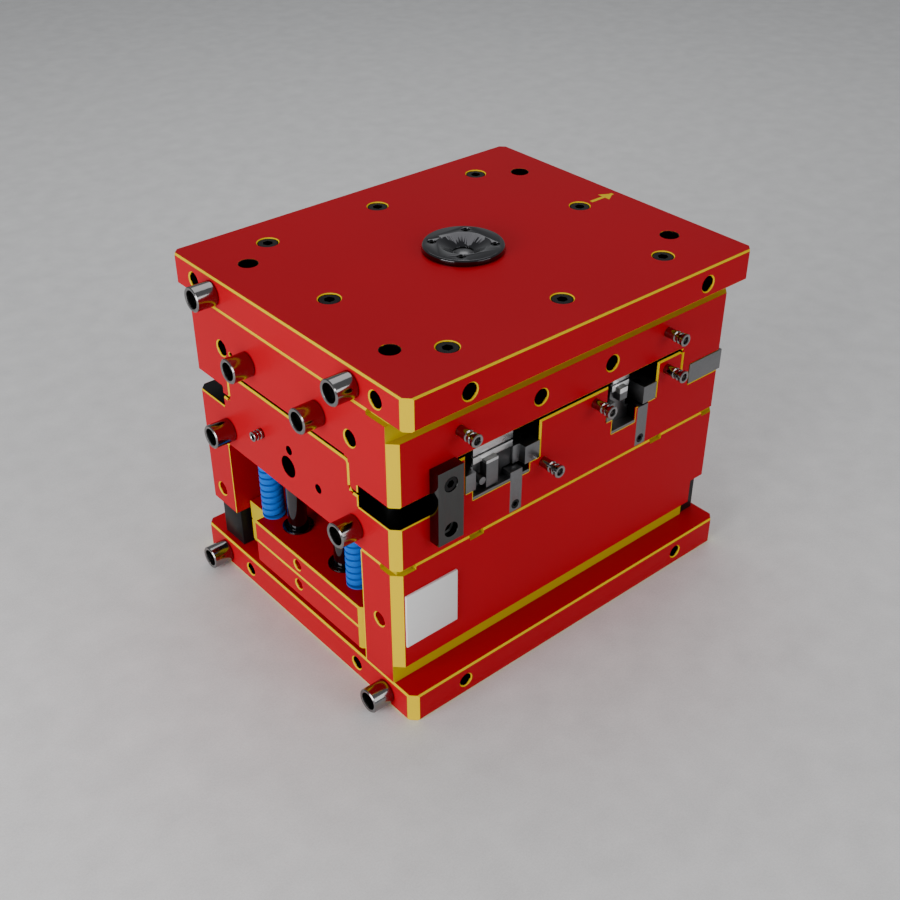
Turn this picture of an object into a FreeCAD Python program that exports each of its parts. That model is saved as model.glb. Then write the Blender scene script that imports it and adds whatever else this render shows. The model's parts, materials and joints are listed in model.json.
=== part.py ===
import FreeCAD, Part
import os
import re

# Injection mould base, millimetres, +Z towards the fixed half.
# Origin: middle of the underside of the bottom clamp plate. X is the long side, Y the short side.

doc = FreeCAD.newDocument("MouldBase")
sheet = doc.addObject("Spreadsheet::Sheet", "Dims")

VALUES = {
    "plate_long": 540, "plate_wide": 400, "clamp_lip": 25,
    "corner_cut": 10.5, "bevel": 2, "mouth": 1.3,
    "clamp_low": 40, "knockout_rad": 20, "spacer_tall": 170, "core_plate_tall": 112, "cavity_plate_tall": 83, "clamp_high": 40,
    "rebate_tall": 27, "rebate_deep": 10.5,
    "step_along": 187, "step_across": 121, "step_drop": 40, "step_play": 0.15, "step_round": 6, "parting_gap": 3.5,
    "pry_along": 203.3, "pry_across": 136, "pry_half": 14.5, "pry_shallow": 6.3, "pry_lip": 1.2,
    "pry_end_from": 172, "pry_side_from": 241, "pry_mid_from": 141, "pry_mid_to": 162,
    "pry_top_from": 158, "pry_top_to": 189.6,
    "slot_block_from": 204.3, "slot_block_to": 266, "slot_block_deep": 40, "slot_screw_across": 180,
    "spacer_thick": 63, "notch_long": 34, "notch_tall": 62,
    "leader_inset": 52, "leader_across": 134, "leader_rad": 16, "leader_head_rad": 20, "leader_head_tall": 8,
    "leader_reach": 72, "bush_rad": 22, "bush_flange_rad": 25, "bush_flange_tall": 8, "run_play": 0.05,
    "button_tall": 10, "button_rad": 10, "ejector_tall": 35, "retainer_tall": 30, "ejector_half": 135,
    "ejector_cut": 3, "ejector_corner_along": 20, "ejector_corner_across": 92,
    "return_along": 242, "return_across": 90, "return_rad": 7, "return_head_rad": 10, "head_tall": 5,
    "spring_rad": 15, "spring_wire": 5,
    "guide_along": 233, "guide_across": 49, "guide_rad": 12.5, "guide_bush_rad": 17, "guide_flange_rad": 20,
    "guide_flange_tall": 6, "guide_proud": 2, "guide_seat": 12,
    "pillar_along": 120, "pillar_across": 62, "pillar_rad": 20,
    "insert_screw_inset": 20, "ejector_screw_inset": 40, "insert_half_long": 165, "insert_half_wide": 112, "core_insert_deep": 58, "cavity_insert_deep": 40,
    "tray_half_long": 132, "tray_half_wide": 80, "tray_deep": 20, "wall": 3,
    "knock_rad": 4, "knock_head_rad": 7, "knock_along": 80, "knock_across": 45,
    "screw_rad": 8, "screw_head_rad": 12, "screw_head_tall": 16, "screw_sink_rad": 13, "screw_sink": 17,
    "screw_grip": 28, "clamp_screw_along": 168, "clamp_screw_across": 168, "clamp_screw_end": 198,
    "base_screw_along": 200, "base_screw_across": 168, "button_along": 180, "button_across": 104,
    "small_rad": 5, "small_head_rad": 8, "small_head_tall": 10, "small_grip": 18,
    "ring_rad": 50, "ring_tall": 13, "ring_sink": 5, "ring_spigot_rad": 48, "ring_relief": 0.5, "ring_gap": 1,
    "ring_bevel": 1.5, "dish_small_rad": 13, "dish_big_rad": 31, "dish_floor": 2, "nozzle_seat_rad": 16, "ring_screw_circle": 38, "ring_screw_rad": 3,
    "ring_screw_head_rad": 5, "sprue_head_rad": 19, "sprue_head_tall": 15, "sprue_rad": 9, "sprue_bore": 2.5,
    "lift_rad": 10, "lift_deep": 25, "base_lift_rad": 8.5,
    "top_lift_across": 175, "top_lift_along": 186, "base_lift_across": 117, "base_lift_along": 188,
    "cavity_lift_across": 127, "cavity_lift_along": 57.5, "cavity_lift_drop": 52, "top_lift_drop": 21,
    "spacer_lift_across": 167, "spacer_lift_high": 85, "spacer_lift_rad": 9,
    "core_bore_rad": 14, "core_bore_high": 39, "core_bore_deep": 40, "core_small_rad": 6, "core_small_deep": 30,
    "core_upper_across": 4, "core_upper_high": 64, "core_lower_across": 60, "core_lower_high": 40,
    "core_side_lift_rad": 8, "core_side_lift_high": 26, "cavity_tap_rad": 4, "cavity_tap_across": 107,
    "cavity_tap_drop": 53, "cavity_tap_deep": 20, "leader_vent_rad": 11.3,
    "ejector_bore_rad": 7, "ejector_bore_deep": 25, "ejector_bore_high": 19, "retainer_bore_high": 15,
    "foot_rad": 15.5, "foot_long": 28, "foot_hollow_rad": 9, "foot_hollow": 16, "foot_stud_rad": 6, "foot_stud": 16,
    "top_foot_across": 134, "cavity_foot_across": 69, "core_foot_across": 129, "base_foot_across": 175,
    "top_foot_drop": 21, "cavity_foot_drop": 47.5, "core_foot_high": 27, "base_foot_high": 18,
    "nipple_rad": 6.5, "nipple_long": 28.5, "nipple_ring_rad": 8, "nipple_ring": 4, "nipple_bore": 4,
    "nipple_stud": 14, "channel_deep": 60, "end_nipple_across": 54, "end_nipple_high": 59, "end_nipple_long": 13,
    "port_one_along": 50, "port_one_high": 53, "port_two_along": 32.5, "port_two_high": 99,
    "port_three_along": 158, "port_three_high": 98, "port_four_along": 178, "port_five_along": 152.7,
    "cavity_port_drop": 44,
    "strap_wide": 36, "strap_tall": 97, "strap_thick": 15, "strap_low": 233, "strap_mid": 203,
    "strap_pivot": 310, "strap_hole": 249.5, "strap_pin_rad": 6, "strap_head_rad": 9,
    "plate_tag": 75, "plate_tag_thick": 3, "plate_tag_mid": 220.5, "plate_tag_low": 99,
    "switch_deep": 9, "switch_inset": 12, "switch_wide": 44, "switch_tall": 58, "switch_lever_rad": 4,
    "slide_lean": 12, "heel_lean": 15, "angle_head": 3,
    "first_from": 169, "first_to": 57, "first_floor": 272, "first_low_from": 158.5, "first_low_to": 72,
    "first_low_floor": 259, "first_body_from": 150, "first_body_to": 90, "first_front": 190, "first_top": 306,
    "first_angle_rad": 8, "first_angle_mid": 136, "first_notch_near": 4, "first_notch_far": 10,
    "first_notch_deep": 10, "first_lug_from": 137, "first_lug_to": 119, "first_lug_low": 265,
    "first_lug_top": 301, "bolt_along": 142.5, "bolt_high": 277, "bolt_rad": 5, "bolt_long": 30,
    "second_from": 55, "second_to": 142, "second_floor": 272, "second_low_from": 65, "second_low_to": 107,
    "second_low_floor": 251, "second_body_from": 72, "second_body_to": 101, "second_front": 190,
    "second_top": 311, "second_angle_rad": 6, "second_angle_mid": 136, "second_notch_near": 4,
    "second_notch_far": 18, "second_notch_deep": 40, "second_lug_from": 77.8, "second_lug_to": 90.7,
    "second_lug_low": 292, "second_lug_top": 309,
    "wear_plate": 4, "slide_play": 0.3, "heel_gap": 2.7, "heel_seat": 20, "nose_half": 7, "nose_low": 306,
    "nose_tall": 8, "nose_play": 0.1, "strip_tall": 8.5, "strip_proud": 3, "lug_proud": 8, "lug_deep": 12,
    "heel_thick": 30, "heel_rise": 20, "heel_screw_in": 14, "heel_shoulder": 32,
    "gib_tall": 24, "gib_back": 118, "gib_screw_near": 183, "gib_screw_far": 150, "gib_screw_rad": 3, "gib_screw_head_rad": 4.8, "gib_screw_head_tall": 6,
    "bracket_wide": 18.5, "bracket_thick": 10, "bracket_tall": 57, "bracket_low": 213,
    "bracket_hole": 222, "bracket_screw_rad": 4, "bracket_head_rad": 6.2, "bracket_head_tall": 6,
    "first_bracket": 101.5, "second_bracket": 111, "stop_reach": 12, "stop_tall": 7, "stop_travel": 10,
    "stop_play": 1.5,
}

row = 1
for alias, number in VALUES.items():
    sheet.set("A" + str(row), alias)
    sheet.set("B" + str(row), str(number))
    sheet.setAlias("B" + str(row), alias)
    row += 1
doc.recompute()

WORD = re.compile(r"[a-z][a-z_]*")

# Heights of the joint faces, the width of the clamp plates (CW) and the place of the leader pins (LA),
# written once as formulas over the sheet.
LEVELS = {
    "CW": "(plate_wide + 2 * clamp_lip)",
    "LA": "(plate_long / 2 - leader_inset)",
    "Z1": "clamp_low",
    "Z2": "(clamp_low + spacer_tall)",
    "Z3": "(clamp_low + spacer_tall + core_plate_tall)",
    "ZA": "(clamp_low + spacer_tall + core_plate_tall + parting_gap)",
    "Z4": "(clamp_low + spacer_tall + core_plate_tall + cavity_plate_tall)",
    "Z5": "(clamp_low + spacer_tall + core_plate_tall + cavity_plate_tall + clamp_high)",
    "ZE1": "(clamp_low + button_tall)",
    "ZE2": "(clamp_low + button_tall + ejector_tall)",
    "ZE3": "(clamp_low + button_tall + ejector_tall + retainer_tall)",
}


def formula(text):
    """Return an expression over the sheet for a plain formula text."""
    text = str(text)
    for level, words in LEVELS.items():
        text = re.sub(r"\b" + level + r"\b", words, text)
    return WORD.sub(lambda m: "Dims." + m.group(0) if m.group(0) in VALUES else m.group(0), text)


def bind(obj, prop, text):
    obj.setExpression(prop, formula(text))


AXES = {
    "+Z": FreeCAD.Rotation(),
    "-Z": FreeCAD.Rotation(FreeCAD.Vector(1, 0, 0), 180),
    "+X": FreeCAD.Rotation(FreeCAD.Vector(0, 1, 0), 90),
    "-X": FreeCAD.Rotation(FreeCAD.Vector(0, 1, 0), -90),
    "+Y": FreeCAD.Rotation(FreeCAD.Vector(1, 0, 0), -90),
    "-Y": FreeCAD.Rotation(FreeCAD.Vector(1, 0, 0), 90),
}


def place(obj, x, y, z, rotation=None):
    if rotation is not None:
        obj.Placement = FreeCAD.Placement(FreeCAD.Vector(0, 0, 0), rotation)
    bind(obj, "Placement.Base.x", x)
    bind(obj, "Placement.Base.y", y)
    bind(obj, "Placement.Base.z", z)
    return obj


def block(name, x, y, z, long, wide, tall):
    """A box from its low corner and its three sizes."""
    obj = doc.addObject("Part::Box", name)
    bind(obj, "Length", long)
    bind(obj, "Width", wide)
    bind(obj, "Height", tall)
    return place(obj, x, y, z)


def span(name, x0, x1, y0, y1, z0, z1):
    """A box between two values on each axis."""
    sides = ["(%s) - (%s)" % pair for pair in ((x1, x0), (y1, y0), (z1, z0))]
    return block(name, x0, y0, z0, sides[0], sides[1], sides[2])


def rod(name, x, y, z, axis, rad, tall):
    """A cylinder that starts at a point and runs along an axis."""
    obj = doc.addObject("Part::Cylinder", name)
    bind(obj, "Radius", rad)
    bind(obj, "Height", tall)
    return place(obj, x, y, z, AXES[axis])


def cone(name, x, y, z, axis, rad_from, rad_to, tall):
    obj = doc.addObject("Part::Cone", name)
    bind(obj, "Radius1", rad_from)
    bind(obj, "Radius2", rad_to)
    bind(obj, "Height", tall)
    return place(obj, x, y, z, AXES[axis])


def join(name, parts):
    if len(parts) == 1:
        return parts[0]
    obj = doc.addObject("Part::MultiFuse", name)
    obj.Shapes = parts
    return obj


def group(name, parts):
    """Separate solids that belong to one node."""
    if len(parts) == 1:
        return parts[0]
    obj = doc.addObject("Part::Compound", name)
    obj.Links = parts
    return obj


def cut(name, base, tools):
    obj = doc.addObject("Part::Cut", name)
    obj.Base = base
    obj.Tool = join(name + "_tools", tools)
    return obj


def turned_box(name, x, y, z, long, across, axis):
    """A square bar turned 45 degrees about its own long axis, centred on a point."""
    obj = doc.addObject("Part::Box", name)
    half = "(%s) / 2" % across
    turn = FreeCAD.Rotation(FreeCAD.Vector(*axis), 45)
    sizes = [across, across, across]
    sizes[axis.index(1)] = long
    bind(obj, "Length", sizes[0])
    bind(obj, "Width", sizes[1])
    bind(obj, "Height", sizes[2])
    obj.Placement = FreeCAD.Placement(FreeCAD.Vector(0, 0, 0), turn)
    reach = "(%s) * 0.70710678" % across
    middle = "(%s) / 2" % long
    shift = {
        (0, 0, 1): ("%s" % x, "(%s) - (%s)" % (y, reach), "(%s) - (%s)" % (z, middle)),
        (1, 0, 0): ("(%s) - (%s)" % (x, middle), "%s" % y, "(%s) - (%s)" % (z, reach)),
        (0, 1, 0): ("(%s) - (%s)" % (x, reach), "(%s) - (%s)" % (y, middle), "%s" % z),
    }[tuple(axis)]
    bind(obj, "Placement.Base.x", shift[0])
    bind(obj, "Placement.Base.y", shift[1])
    bind(obj, "Placement.Base.z", shift[2])
    return obj


def common(name, parts):
    obj = doc.addObject("Part::MultiCommon", name)
    obj.Shapes = parts
    return obj


def plate_blank(name, y0, y1, z0, z1, wide):
    """A plate between two levels with cut corners and bevelled long edges."""
    tall = "((%s) - (%s))" % (z1, z0)
    middle = "((%s) + (%s)) / 2" % (z0, z1)
    body = span(name + "_box", "-plate_long / 2", "plate_long / 2", y0, y1, z0, z1)
    corner = turned_box(
        name + "_corner", "0", "0", middle, tall + " * 2",
        "(plate_long + %s - 2 * corner_cut) * 0.70710678" % wide, [0, 0, 1])
    side = turned_box(
        name + "_side", "0", "0", middle, "plate_long * 2",
        "(%s + %s - 2 * bevel) * 0.70710678" % (wide, tall), [1, 0, 0])
    end = turned_box(
        name + "_end", "0", "0", middle, "plate_long * 2",
        "(plate_long + %s - 2 * bevel) * 0.70710678" % tall, [0, 1, 0])
    return common(name + "_blank", [body, corner, side, end])


def edge_bevel(name, x, y, z, long, axis, size="bevel"):
    """A turned bar that takes an edge off as a 45 degree face."""
    return turned_box(name, x, y, z, long, "(%s) * 1.41421356" % size, axis)


def mouth_hole(name, x, y, z, axis, rad, deep, lip="mouth"):
    """Cutting tools for a hole with a bevelled mouth; the axis points into the metal."""
    sign = -1 if axis[0] == "+" else 1
    base = {"X": x, "Y": y, "Z": z}
    letter = axis[1]
    base[letter] = "(%s) + (%d) * 0.5" % (base[letter], sign)
    hole = rod(name + "_bore", base["X"], base["Y"], base["Z"], axis, rad, "(%s) + 0.5" % deep)
    lipped = cone(
        name + "_lip", base["X"], base["Y"], base["Z"], axis,
        "%s + %s + 0.5" % (rad, lip), rad, "%s + 0.5" % lip)
    return [hole, lipped]


def both(text, sign):
    return "(%d) * (%s)" % (sign, text)


def signed_span(name, sx, sy, x0, x1, y0, y1, z0, z1):
    """A box given for the corner at +X and +Y, moved to the corner with these signs."""
    xs = [both(x0, sx), both(x1, sx)]
    ys = [both(y0, sy), both(y1, sy)]
    if sx < 0:
        xs.reverse()
    if sy < 0:
        ys.reverse()
    return span(name, xs[0], xs[1], ys[0], ys[1], z0, z1)


# The parting step has a wall in line with each side face: "end" is the face at the end of X, "side" the one of Y.
FACES = {
    "end": ("plate_long / 2", "step_across", "step_along"),
    "side": ("plate_wide / 2", "step_along", "step_across"),
}


def round_fill(name, face, sx, sy, up, play, z, hollow):
    """The sharp part of a step corner outside its round, with a bevel where it meets the side face."""
    plane, wall, other = FACES[face]
    sign = -1 if up else 1
    middle = "%s + %s + (%d) * step_round" % (wall, play, sign)
    height = "%s + (%d) * step_round" % (z, sign)
    across = [middle, "%s - (%d) * (step_round + 1)" % (middle, sign)]
    levels = [height, "%s - (%d) * (step_round + 1)" % (height, sign)]
    if not up:
        across.reverse()
        levels.reverse()
    along = ["%s + %s" % (other, play), plane + " + 0.5"]
    sides = along + across if face == "end" else across + along
    bar = signed_span(name + "_bar", sx, sy, sides[0], sides[1], sides[2], sides[3], levels[0], levels[1])
    mouth = "step_round + (%d) * (bevel + 0.5)" % (1 if hollow else -1)
    if face == "end":
        axis = "-X" if sx > 0 else "+X"
        outer = (both(plane + " + 0.5", sx), both(middle, sy), height)
        inner = (both(plane + " - bevel", sx), both(middle, sy), height)
    else:
        axis = "-Y" if sy > 0 else "+Y"
        outer = (both(middle, sx), both(plane + " + 0.5", sy), height)
        inner = (both(middle, sx), both(plane + " - bevel", sy), height)
    return cut(name, bar, [
        cone(name + "_mouth", outer[0], outer[1], outer[2], axis, mouth, "step_round", "bevel + 0.5"),
        rod(name + "_round", inner[0], inner[1], inner[2], axis, "step_round", plane),
    ])


def upright_groove(name, face, sx, sy, across, z0, z1, size="bevel"):
    """A bevel along an upright edge on a side face."""
    plane = FACES[face][0]
    x, y = (plane, across) if face == "end" else (across, plane)
    return edge_bevel(name, both(x, sx), both(y, sy), "((%s) + (%s)) / 2" % (z0, z1), "(%s) - (%s)" % (z1, z0),
                      [0, 0, 1], size)


def level_groove(name, face, sx, sy, from_middle, to_middle, z, size="bevel"):
    """A bevel along a level edge on a side face."""
    plane = FACES[face][0]
    half = "((%s) + (%s)) / 2" % (from_middle, to_middle)
    x, y = (plane, half) if face == "end" else (half, plane)
    axis = [0, 1, 0] if face == "end" else [1, 0, 0]
    return edge_bevel(name, both(x, sx), both(y, sy), z, "(%s) - (%s)" % (to_middle, from_middle), axis, size)


SIGNS = [(-1, -1), (1, -1), (1, 1), (-1, 1)]
NODES = {}


def node(label, obj):
    obj.Label = label
    NODES[label] = obj
    return obj


def cap_screw(name, x, y, z, axis, rad, head_rad, head_tall, grip, socket=True):
    """A cap screw: z is the underside of the head; the axis points to its tip."""
    back = {"+Z": "-Z", "-Z": "+Z", "+Y": "-Y", "-Y": "+Y", "+X": "-X", "-X": "+X"}[axis]
    shank = rod(name + "_shank", x, y, z, axis, rad, grip)
    head = rod(name + "_head", x, y, z, back, head_rad, head_tall)
    screw = join(name + "_fused", [shank, head])
    if not socket:
        return screw
    base = {"X": x, "Y": y, "Z": z}
    sign = 1 if back[0] == "+" else -1
    base[back[1]] = "(%s) + (%d) * (%s) * 0.45" % (base[back[1]], sign, head_tall)
    key = doc.addObject("Part::Prism", name + "_key")
    key.Polygon = 6
    bind(key, "Circumradius", "(%s) * 0.55" % head_rad)
    bind(key, "Height", head_tall)
    place(key, base["X"], base["Y"], base["Z"], AXES[back])
    return cut(name, screw, [key])


# ---------------------------------------------------------------- bottom clamp plate
base_tools = []
for n, (sx, sy) in enumerate(SIGNS):
    base_tools.append(rod("base_hole%d" % n, both("base_screw_along", sx), both("base_screw_across", sy),
                          "-1", "+Z", "screw_rad + 0.7", "clamp_low + 2"))
    base_tools.append(rod("base_sink%d" % n, both("base_screw_along", sx), both("base_screw_across", sy),
                          "-1", "+Z", "screw_sink_rad", "screw_sink + 1"))
    base_tools.append(rod("guide_seat%d" % n, both("guide_along", sx), both("guide_across", sy),
                          "clamp_low - guide_seat", "+Z", "guide_rad", "guide_seat + 1"))
    base_tools.append(rod("pillar_hole%d" % n, both("pillar_along", sx), both("pillar_across", sy),
                          "-1", "+Z", "small_rad + 0.5", "clamp_low + 2"))
    base_tools.append(rod("pillar_sink%d" % n, both("pillar_along", sx), both("pillar_across", sy),
                          "-1", "+Z", "small_head_rad + 0.5", "small_head_tall + 2"))
for n, sy in enumerate((-1, 1)):
    base_tools.append(rod("base_mid%d" % n, "0", both("base_screw_across", sy), "-1", "+Z",
                          "screw_rad + 0.7", "clamp_low + 2"))
    base_tools.append(rod("base_midsink%d" % n, "0", both("base_screw_across", sy), "-1", "+Z",
                          "screw_sink_rad", "screw_sink + 1"))
    for m, sx in enumerate((-1, 1)):
        base_tools += mouth_hole("base_endlift%d%d" % (n, m), both("plate_long / 2", sx),
                                 both("base_lift_across", sy), "clamp_low / 2",
                                 "+X" if sx < 0 else "-X", "base_lift_rad", "lift_deep")
        base_tools += mouth_hole("base_sidelift%d%d" % (n, m), both("base_lift_along", sx),
                                 both("CW / 2", sy), "clamp_low / 2",
                                 "+Y" if sy < 0 else "-Y", "base_lift_rad", "lift_deep")
    base_tools.append(rod("base_foothole%d" % n, "-plate_long / 2 - 1", both("base_foot_across", sy),
                          "base_foot_high", "+X", "foot_stud_rad", "foot_stud + 1"))
base_tools.append(rod("knockout_hole", "0", "0", "-1", "+Z", "knockout_rad", "clamp_low + 2"))
base_blank = plate_blank("base", "-CW / 2", "CW / 2", "0", "Z1", "CW")
node("bottom_clamp_plate", cut("bottom_clamp", base_blank, base_tools))

# ---------------------------------------------------------------- spacer blocks
for side, sy in (("front", -1), ("rear", 1)):
    y0 = "-plate_wide / 2" if sy < 0 else "plate_wide / 2 - spacer_thick"
    y1 = "-plate_wide / 2 + spacer_thick" if sy < 0 else "plate_wide / 2"
    blank = plate_blank("spacer_" + side, y0, y1, "Z1", "Z2", "plate_wide")
    tools = []
    edge = "plate_wide / 2" if sy > 0 else "-plate_wide / 2"
    if sy < 0:
        tools.append(span("rebate_" + side, "-plate_long", "plate_long", edge + " - 1", edge + " + rebate_deep",
                          "Z1 - 1", "Z1 + rebate_tall"))
    else:
        tools.append(span("rebate_" + side, "-plate_long", "plate_long", edge + " - rebate_deep", edge + " + 1",
                          "Z1 - 1", "Z1 + rebate_tall"))
    # the notch for the limit switch is at one end only
    sx = 1 if sy < 0 else -1
    if sx > 0:
        tools.append(span("notch_" + side, "plate_long / 2 - notch_long", "plate_long / 2 + 1",
                          y0 + " - 1", y1 + " + 1", "Z1 - 1", "Z1 + notch_tall"))
    else:
        tools.append(span("notch_" + side, "-plate_long / 2 - 1", "-plate_long / 2 + notch_long",
                          y0 + " - 1", y1 + " + 1", "Z1 - 1", "Z1 + notch_tall"))
    for n, sx in enumerate((-1, 1)):
        # shallow pry recesses at the top corners and beside the middle
        x0 = "-plate_long / 2 - 1" if sx < 0 else "plate_long / 2 - pry_shallow"
        x1 = "-plate_long / 2 + pry_shallow" if sx < 0 else "plate_long / 2 + 1"
        ya = both("pry_end_from", sy)
        yb = both("plate_wide / 2 + 1", sy)
        lowy, highy = (yb, ya) if sy < 0 else (ya, yb)
        tools.append(span("pry_end_%s%d" % (side, n), x0, x1, lowy, highy, "Z2 - pry_shallow", "Z2 + 1"))
        xa = both("pry_side_from", sx)
        xb = both("plate_long / 2 + 1", sx)
        lowx, highx = (xb, xa) if sx < 0 else (xa, xb)
        ya = both("plate_wide / 2 - pry_shallow", sy)
        lowy, highy = (yb, ya) if sy < 0 else (ya, yb)
        tools.append(span("pry_side_%s%d" % (side, n), lowx, highx, lowy, highy, "Z2 - pry_shallow", "Z2 + 1"))
        xa = both("pry_mid_from", sx)
        xb = both("pry_mid_to", sx)
        lowx, highx = (xb, xa) if sx < 0 else (xa, xb)
        tools.append(span("pry_mid_%s%d" % (side, n), lowx, highx, lowy, highy, "Z2 - pry_shallow", "Z2 + 1"))
        tools += mouth_hole("spacer_lift_%s%d" % (side, n), both("plate_long / 2", sx), both("spacer_lift_across", sy),
                            "Z1 + spacer_lift_high", "+X" if sx < 0 else "-X", "spacer_lift_rad",
                            "lift_deep")
        tools.append(rod("spacer_bolt_%s%d" % (side, n), both("base_screw_along", sx),
                         both("base_screw_across", sy), "Z1 - 1", "+Z", "screw_rad + 0.7", "spacer_tall + 2"))
    tools.append(rod("spacer_midbolt_" + side, "0", both("base_screw_across", sy), "Z1 - 1", "+Z",
                     "screw_rad + 0.7", "spacer_tall + 2"))
    node("spacer_block_" + side, cut("spacer_cut_" + side, blank, tools))

# ---------------------------------------------------------------- slide units: positions of both windows
UNITS = {
    "first": {
        "x0": "(-first_from)", "x1": "(-first_to)",
        "lx0": "(-first_low_from)", "lx1": "(-first_low_to)", "bx0": "(-first_body_from)", "bx1": "(-first_body_to)",
        "mid": "((-first_body_from - first_body_to) / 2)", "bracket": "(-first_bracket)",
        "gx0": "(-first_lug_from)", "gx1": "(-first_lug_to)",
    },
    "second": {
        "x0": "second_from", "x1": "second_to", "lx0": "second_low_from", "lx1": "second_low_to",
        "bx0": "second_body_from", "bx1": "second_body_to",
        "mid": "((second_body_from + second_body_to) / 2)", "bracket": "second_bracket",
        "gx0": "second_lug_from", "gx1": "second_lug_to",
    },
}
SLIDE_BACK = "-(insert_half_wide + run_play)"


def leaning_rod(name, unit, rad, above, below):
    """A cylinder on the axis of the angle pin of a slide unit, measured along that axis."""
    obj = doc.addObject("Part::Cylinder", name)
    bind(obj, "Radius", rad)
    bind(obj, "Height", "(%s) + (%s)" % (above, below))
    obj.Placement = FreeCAD.Placement(FreeCAD.Vector(0, 0, 0), FreeCAD.Rotation(FreeCAD.Vector(1, 0, 0), -12))
    obj.setExpression("Placement.Rotation.Angle", formula("-slide_lean"))
    obj.setExpression("Placement.Rotation.Axis.x", "1")
    obj.setExpression("Placement.Rotation.Axis.y", "0")
    obj.setExpression("Placement.Rotation.Axis.z", "0")
    bind(obj, "Placement.Base.x", UNITS[unit]["mid"])
    bind(obj, "Placement.Base.y", "-%s_angle_mid - sin(slide_lean * 1 deg) * (%s)" % (unit, below))
    bind(obj, "Placement.Base.z", "Z3 - cos(slide_lean * 1 deg) * (%s)" % below)
    return obj


# ---------------------------------------------------------------- B plate
core_blank = plate_blank("core_plate", "-plate_wide / 2", "plate_wide / 2", "Z2", "Z3", "plate_wide")
core_tools = [span("core_pocket", "-insert_half_long", "insert_half_long", "-insert_half_wide", "insert_half_wide",
                   "Z3 - core_insert_deep", "Z3 + 1")]
for n, (sx, sy) in enumerate(SIGNS):
    step_box = signed_span("step_box%d" % n, sx, sy, "step_along", "plate_long", "step_across", "plate_wide",
                           "Z3 - step_drop", "Z3 + 1")
    core_tools.append(cut("step_cut%d" % n, step_box, [
        round_fill("step_low_%s%d" % (face, n), face, sx, sy, False, "0", "Z3 - step_drop", True)
        for face in FACES]))
    core_tools.append(signed_span("pry_low%d" % n, sx, sy, "pry_along", "plate_long", "pry_across", "plate_wide",
                                  "Z3 - step_drop - pry_half", "Z3 - step_drop + 1"))
    for face, (plane, wall, other) in FACES.items():
        pry = "pry_across" if face == "end" else "pry_along"
        far = "plate_wide / 2" if face == "end" else "plate_long / 2"
        core_tools.append(round_fill("step_high_%s%d" % (face, n), face, sx, sy, True, "0", "Z3", False))
        core_tools.append(upright_groove("core_wall_%s%d" % (face, n), face, sx, sy, wall,
                                         "Z3 - step_drop + step_round", "Z3 - step_round"))
        core_tools.append(level_groove("core_floor_%s%d" % (face, n), face, sx, sy, wall + " + step_round",
                                       pry + " + 2", "Z3 - step_drop"))
        core_tools.append(upright_groove("core_lip_%s%d" % (face, n), face, sx, sy, pry,
                                         "Z3 - step_drop - pry_half", "Z3 - step_drop", "pry_lip"))
        core_tools.append(level_groove("core_sill_%s%d" % (face, n), face, sx, sy, pry, far,
                                       "Z3 - step_drop - pry_half", "pry_lip"))
    core_tools.append(rod("leader_seat%d" % n, both("LA", sx), both("leader_across", sy), "Z2 - 1",
                          "+Z", "leader_rad", "core_plate_tall + 2"))
    core_tools.append(rod("bush_clear%d" % n, both("LA", sx), both("leader_across", sy),
                          "Z3 - step_drop", "+Z", "bush_rad + 0.3", "step_drop + 1"))
    core_tools.append(rod("leader_head_seat%d" % n, both("LA", sx), both("leader_across", sy),
                          "Z2 - 1", "+Z", "leader_head_rad", "leader_head_tall + 1"))
    core_tools.append(rod("core_return%d" % n, both("return_along", sx), both("return_across", sy), "Z2 - 1",
                          "+Z", "return_rad + 0.3", "core_plate_tall + 2"))
    core_tools.append(rod("core_guide%d" % n, both("guide_along", sx), both("guide_across", sy), "Z2 - 1",
                          "+Z", "guide_rad", "guide_seat + 1"))
    core_tools.append(rod("core_bolt%d" % n, both("base_screw_along", sx), both("base_screw_across", sy),
                          "Z2 - 1", "+Z", "screw_rad", "screw_grip + 3"))
    core_tools.append(rod("core_pillar%d" % n, both("pillar_along", sx), both("pillar_across", sy), "Z2 - 1",
                          "+Z", "small_rad", "small_grip + 1"))
    core_tools.append(rod("core_insert_hole%d" % n, both("insert_half_long - insert_screw_inset", sx),
                          both("insert_half_wide - insert_screw_inset", sy), "Z2 - 1", "+Z", "small_rad + 0.5",
                          "core_plate_tall"))
    core_tools.append(rod("core_insert_sink%d" % n, both("insert_half_long - insert_screw_inset", sx),
                          both("insert_half_wide - insert_screw_inset", sy), "Z2 - 1", "+Z", "small_head_rad + 0.5",
                          "core_plate_tall - core_insert_deep - small_grip / 2 - 4"))
KNOCK = [(sx, sy) for sx in (-1, 0, 1) for sy in (-1, 1)]
for n, (sx, sy) in enumerate(KNOCK):
    core_tools.append(rod("core_knock%d" % n, both("knock_along", sx), both("knock_across", sy), "Z2 - 1",
                          "+Z", "knock_rad + 0.5", "core_plate_tall"))
core_tools.append(rod("core_puller", "0", "0", "Z2 - 1", "+Z", "knock_rad + 0.5", "core_plate_tall"))
for n, sy in enumerate((-1, 1)):
    core_tools.append(rod("core_midbolt%d" % n, "0", both("base_screw_across", sy), "Z2 - 1", "+Z",
                          "screw_rad", "screw_grip + 3"))
    core_tools.append(rod("core_foothole%d" % n, "-plate_long / 2 - 1", both("core_foot_across", sy),
                          "Z2 + core_foot_high", "+X", "foot_stud_rad", "foot_stud + 1"))
for n, (along, axis) in enumerate((("-plate_long / 2", "+X"), ("plate_long / 2", "-X"))):
    core_tools.append(rod("core_bore%d" % n, along, "0", "Z2 + core_bore_high", axis, "core_bore_rad",
                          "core_bore_deep"))
core_tools.append(rod("core_upper", "-plate_long / 2", "-core_upper_across", "Z2 + core_upper_high", "+X",
                      "core_small_rad", "core_small_deep"))
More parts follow.
